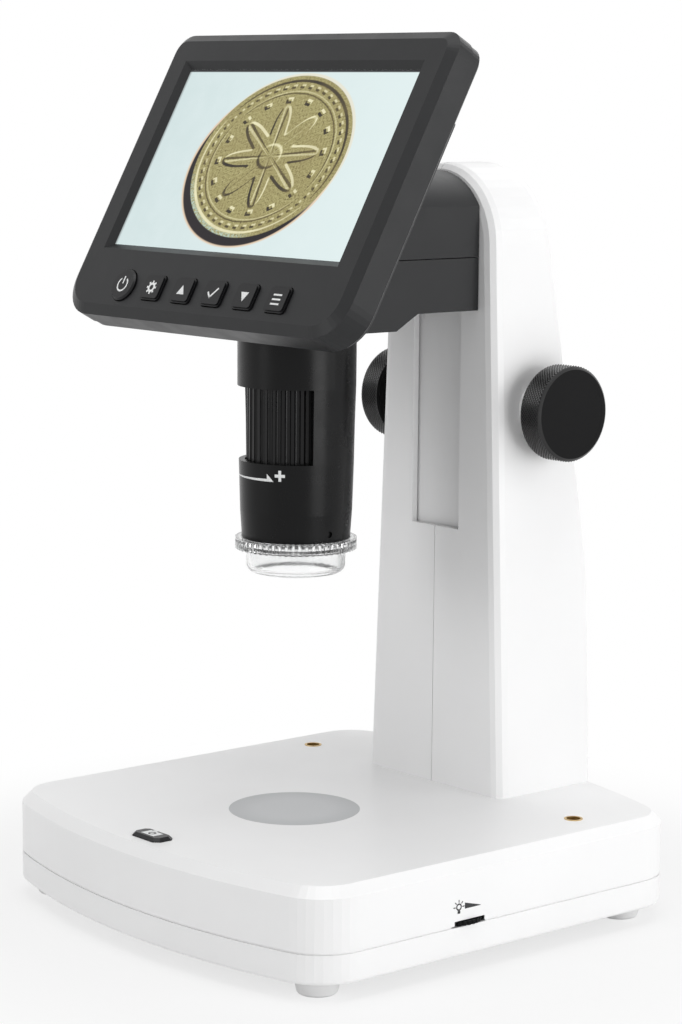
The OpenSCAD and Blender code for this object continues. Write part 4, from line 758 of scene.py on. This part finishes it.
def relief_group():
    """The height of a plain brass token at a point of its face, where the rim is at radius 1: a
    raised rim, a ring of beads, a thin ring, a rosette of petals with a boss, and fine pits."""
    tree = bpy.data.node_groups.new("token_relief", "ShaderNodeTree")
    tree.interface.new_socket("Point", in_out="INPUT", socket_type="NodeSocketVector")
    tree.interface.new_socket("Height", in_out="OUTPUT", socket_type="NodeSocketFloat")
    g = Graph(tree)
    point = g.node("NodeGroupInput").outputs["Point"]
    parts = g.node("ShaderNodeSeparateXYZ", {0: point})
    r = g.vector("LENGTH", point)
    turn = g.maths("ARCTAN2", parts.outputs[1], parts.outputs[0])

    def wave(count):
        """A wave between 0 and 1 round the token, with that many crests."""
        turns = g.maths("COSINE", g.maths("MULTIPLY", turn, count))
        return g.maths("MULTIPLY_ADD", turns, 0.5, 0.5)

    def band(start, end, soft):
        """1 between two radii and 0 elsewhere, with soft edges."""
        rise = g.range(r, start - soft, start + soft, smooth=True)
        fall = g.range(r, end - soft, end + soft, 1.0, 0.0, smooth=True)
        return g.maths("MULTIPLY", rise, fall)

    rim = g.range(r, *RIM_RANGE, smooth=True)
    beads = g.maths("MULTIPLY", band(*BEAD_RING), g.range(wave(BEADS), *BEAD_WAVE, smooth=True))
    beads = g.maths("MULTIPLY", beads, BEAD_HEIGHT)
    ring = g.maths("MULTIPLY", band(*THIN_RING), THIN_HEIGHT)
    petal_edge = g.maths("MULTIPLY_ADD", wave(PETALS), PETAL_GROWTH, PETAL_SHORT)
    petals = g.range(g.maths("SUBTRACT", petal_edge, r), 0.0, PETAL_SOFT, smooth=True)
    vein = g.range(wave(PETALS), *VEIN_WAVE, smooth=True)
    veins = g.maths("MULTIPLY_ADD", vein, VEIN_HEIGHT, 1.0)
    boss = g.maths("MULTIPLY", g.range(r, *BOSS_RANGE, smooth=True), BOSS_HEIGHT)
    ticks = g.maths("MULTIPLY", band(*TICK_RING), g.range(wave(TICKS), *TICK_WAVE, smooth=True))
    pits = g.noise(PIT_SIZE, detail=3, roughness=0.7, at=point)
    total = g.maths("MULTIPLY", pits, PIT_HEIGHT)
    for part in (rim, beads, ring, g.maths("MULTIPLY", petals, veins), boss, ticks):
        total = g.maths("ADD", total, part)
    g.node("NodeGroupOutput", {"Height": total})
    return tree


def picture_material():
    """What the display shows: a brass token, tilted, on a pale blue-grey ground, with a painted
    shadow of the bezel along its left and top edges. It glows as a lit screen does."""
    s = Shader("display_picture")
    from_centre = s.vector("SUBTRACT", s.place(), tuple(SCREEN))
    x, y = (
        s.maths("DIVIDE", s.vector("DOT_PRODUCT", from_centre, tuple(direction)), MM)
        for direction in (ACROSS, DISPLAY_UP)
    )

    def in_ellipse(shift_x=0, shift_y=0, grow=1.0):
        """The point in the token's own circle of radius 1, for an ellipse moved by that many
        millimetres."""
        dx = s.maths("SUBTRACT", x, TOKEN_X + shift_x)
        dy = s.maths("SUBTRACT", y, TOKEN_Y + shift_y)
        c, n = math.cos(TOKEN_LEAN), math.sin(TOKEN_LEAN)
        along = s.maths("ADD", s.maths("MULTIPLY", dx, c), s.maths("MULTIPLY", dy, n))
        aside = s.maths("SUBTRACT", s.maths("MULTIPLY", dy, c), s.maths("MULTIPLY", dx, n))
        inputs = {
            0: s.maths("DIVIDE", along, TOKEN_LONG * grow),
            1: s.maths("DIVIDE", aside, TOKEN_SHORT * grow),
        }
        return s.node("ShaderNodeCombineXYZ", inputs).outputs[0]

    def inside(colour, ellipse, fade):
        """How much of a soft ellipse's colour is there, and the colour."""
        radius = s.vector("LENGTH", in_ellipse(*ellipse))
        return s.range(radius, *fade, smooth=True), colour

    face_point = in_ellipse()
    face_radius = s.vector("LENGTH", face_point)
    relief = relief_group()
    heights = []
    for sign in (1, -1):
        step = (*(sign * part for part in RELIEF_STEP), 0)
        group = s.node("ShaderNodeGroup", node_tree=relief)
        s.put(group.inputs["Point"], s.vector("ADD", face_point, step))
        heights.append(group.outputs["Height"])
    lit = s.range(s.maths("SUBTRACT", heights[1], heights[0]), -FULL_SLOPE, FULL_SLOPE)
    ramp = s.node("ShaderNodeValToRGB", {"Fac": lit})
    stops = ramp.color_ramp.elements
    stops[0].color, stops[1].color = BRASS_SHADES[0][1], BRASS_SHADES[-1][1]
    for position, colour in BRASS_SHADES[1:-1]:
        stops.new(position).color = colour
    tarnish = s.range(s.noise(TARNISH_SIZE, detail=3, at=face_point), *TARNISH_RANGE)
    brass = s.mix(tarnish, ramp.outputs["Color"], TARNISH)
    facing = s.vector("DOT_PRODUCT", face_point, SHADED_EDGE)
    flecks = s.noise(FLECK_SIZE, detail=3, roughness=0.7, at=face_point)
    sheen = s.range(facing, *SHEEN_FACING, smooth=True)
    sheen = s.maths("MULTIPLY", sheen, s.range(flecks, *FLECK_RANGE))
    sheen = s.maths("MULTIPLY", sheen, s.range(face_radius, *SHEEN_RADII, smooth=True))
    brass = s.mix(sheen, brass, SHEEN)

    haze = s.noise(HAZE_SIZE, detail=4, roughness=0.6)
    specks = s.noise(SPECK_SIZE, detail=2, roughness=0.6)
    halo, halo_colour = inside(*HALO)
    picture = s.mix(s.range(x, *GROUND_RUN), GROUND_LEFT, GROUND_RIGHT)
    for share, colour in (
        (s.range(haze, *HAZE_SHARE), HAZE),
        (s.range(specks, *SPECK_SHARE), SPECK),
        inside(*FRINGE),
        inside(*SHADOW),
        (s.maths("MULTIPLY", halo, s.range(facing, *HALO_FACING)), halo_colour),
        # Painted shadow of the bezel over the picture's left and top edges
        (s.range(x, *LEFT_BEZEL_SHADOW_SHARE, smooth=True), LEFT_BEZEL_SHADOW),
        (s.range(y, *TOP_BEZEL_SHADOW_SHARE, smooth=True), TOP_BEZEL_SHADOW),
        (s.range(face_radius, *FACE_EDGE, smooth=True), brass),
    ):
        picture = s.mix(share, picture, colour)
    s.set(
        Base_Color=(0.01, 0.01, 0.012, 1),
        Roughness=s.spread(specks, 0.16, 0.2),
        Emission_Color=picture,
        Emission_Strength=1.0,
        Specular_IOR_Level=0.15,
    )
    return s.material


def add_picture():
    half_w, half_h = PICTURE_WIDTH / 2, PICTURE_HEIGHT / 2
    middle_point = SCREEN + DISPLAY_OUT * PICTURE_LIFT
    faces = []
    for left, right in stretches(-half_w, half_w, PICTURE_COLUMNS):
        for low, high in stretches(-half_h, half_h, PICTURE_ROWS):
            corners = ((left, low), (right, low), (right, high), (left, high))
            faces.append([middle_point + ACROSS * a + DISPLAY_UP * b for a, b in corners])
    piece_from_faces("screen_picture", faces, "head", picture_material())


# ---------------------------------------------------------------- light, floor and camera

# Strength of the world as a light. Seen directly it is plain white.
AMBIENT = 0.42
PLAIN_WHITE = (1, 1, 1, 1)

# Name, azimuth and elevation in degrees, distance, width and height in metres, power in watts
LAMPS = (
    ("right_softbox", 122, 16, 1.0, 0.3, 0.62, 1.8),
    ("low_softbox", 94, 2, 0.6, 0.28, 0.26, 0.97),
    ("front_softbox", -15, 14, 1.2, 0.4, 0.6, 2.8),
    ("overhead", 40, 80, 1.2, 0.9, 0.9, 6.0),
    ("back_fill", 200, 35, 1.4, 0.8, 0.8, 2.0),
)
LAMP_AIM = Vector((0, 0, 0.12))

# The floor's colour and reach, and where and how much it fades into the white background
FLOOR_WHITE = (0.80, 0.80, 0.80, 1)
FLOOR_REACH = 6.0
FLOOR_FADE = (0.10, 0.20, 0.7, 1.0)

CAMERA_AT = Vector((595.963, -502.25, 229.19)) * MM
CAMERA_YAW = math.radians(49.895)
CAMERA_DOWN = math.radians(8.513)
CAMERA_ROLL = math.radians(0.468)
FOCAL_PIXELS = 2819.4
IMAGE_HEIGHT = 1024
SENSOR = 36.0
CLIP_NEAR = 0.01
CLIP_FAR = 20


def add_camera():
    """The camera fitted to the photograph: it looks rearward, turned by the yaw to the left."""
    level = Vector((-math.sin(CAMERA_YAW), math.cos(CAMERA_YAW), 0))
    ahead = level * math.cos(CAMERA_DOWN) - UPRIGHT * math.sin(CAMERA_DOWN)
    right = Vector((math.cos(CAMERA_YAW), math.sin(CAMERA_YAW), 0))
    up = right.cross(ahead)
    turned_right = right * math.cos(CAMERA_ROLL) + up * math.sin(CAMERA_ROLL)
    turned_up = up * math.cos(CAMERA_ROLL) - right * math.sin(CAMERA_ROLL)
    data = bpy.data.cameras.new("camera")
    data.sensor_width = SENSOR
    data.lens = FOCAL_PIXELS / IMAGE_HEIGHT * SENSOR
    data.clip_start = CLIP_NEAR
    data.clip_end = CLIP_FAR
    camera = bpy.data.objects.new("camera", data)
    turned = Matrix((turned_right, turned_up, -ahead)).transposed().to_4x4()
    camera.matrix_world = Matrix.Translation(CAMERA_AT) @ turned
    bpy.context.scene.collection.objects.link(camera)
    bpy.context.scene.camera = camera


def add_softbox(name, azimuth, elevation, distance, width, height, power):
    """A soft rectangular lamp that looks at the object. Azimuth 0 is in front, and 90 is on the +X
    side."""
    a, e = math.radians(azimuth), math.radians(elevation)
    towards = Vector((math.sin(a) * math.cos(e), -math.cos(a) * math.cos(e), math.sin(e)))
    data = bpy.data.lights.new(name, "AREA")
    data.shape = "RECTANGLE"
    data.size = width
    data.size_y = height
    data.energy = power
    lamp = bpy.data.objects.new(name, data)
    lamp.location = LAMP_AIM + towards * distance
    lamp.rotation_mode = "QUATERNION"
    lamp.rotation_quaternion = (-towards).to_track_quat("-Z", "Y")
    bpy.context.scene.collection.objects.link(lamp)


def seen_directly(graph):
    """1 for rays from the camera, from a mirror-like surface or through glass, and 0 for light
    that shines."""
    rays = graph.node("ShaderNodeLightPath").outputs
    seen = graph.maths("MAXIMUM", rays["Is Camera Ray"], rays["Is Glossy Ray"])
    return graph.maths("MAXIMUM", seen, rays["Is Transmission Ray"])


def add_world():
    """A plain white world, which lights the object less than it shows."""
    world = bpy.data.worlds.new("studio")
    world.use_nodes = True
    g = Graph(world.node_tree)
    background = world.node_tree.nodes["Background"]
    g.put(background.inputs["Color"], PLAIN_WHITE)
    g.put(background.inputs["Strength"], g.range(seen_directly(g), 0.0, 1.0, AMBIENT, 1.0))
    bpy.context.scene.world = world


def add_floor():
    """A plain white floor. Away from the object it fades into the white background."""
    s = Shader("floor")
    s.set(Base_Color=FLOOR_WHITE, Roughness=0.9)
    fade = s.range(s.vector("LENGTH", s.place()), *FLOOR_FADE, smooth=True)
    share = s.maths("MULTIPLY", fade, seen_directly(s))
    glow = s.node("ShaderNodeEmission", {"Color": PLAIN_WHITE, "Strength": 1.0})
    inputs = {0: share, 1: s.surface.outputs[0], 2: glow.outputs[0]}
    blend = s.node("ShaderNodeMixShader", inputs)
    s.put(s.tree.nodes["Material Output"].inputs["Surface"], blend.outputs[0])
    far = FLOOR_REACH
    corners = [(-far, -far, 0), (far, -far, 0), (far, far, 0), (-far, far, 0)]
    floor = object_from_faces("floor", [corners], s.material)


dress_nodes()
key_symbols()
camera_symbol()
dimmer_symbols()
tube_symbols()
knurled_rim("knurl_right", "focus_knob_right", 1)
knurled_rim("knurl_left", "focus_knob_left", -1)
add_picture()
add_world()
add_floor()
bpy.context.scene.view_settings.view_transform = "Standard"
for lamp_values in LAMPS:
    add_softbox(*lamp_values)
add_camera()
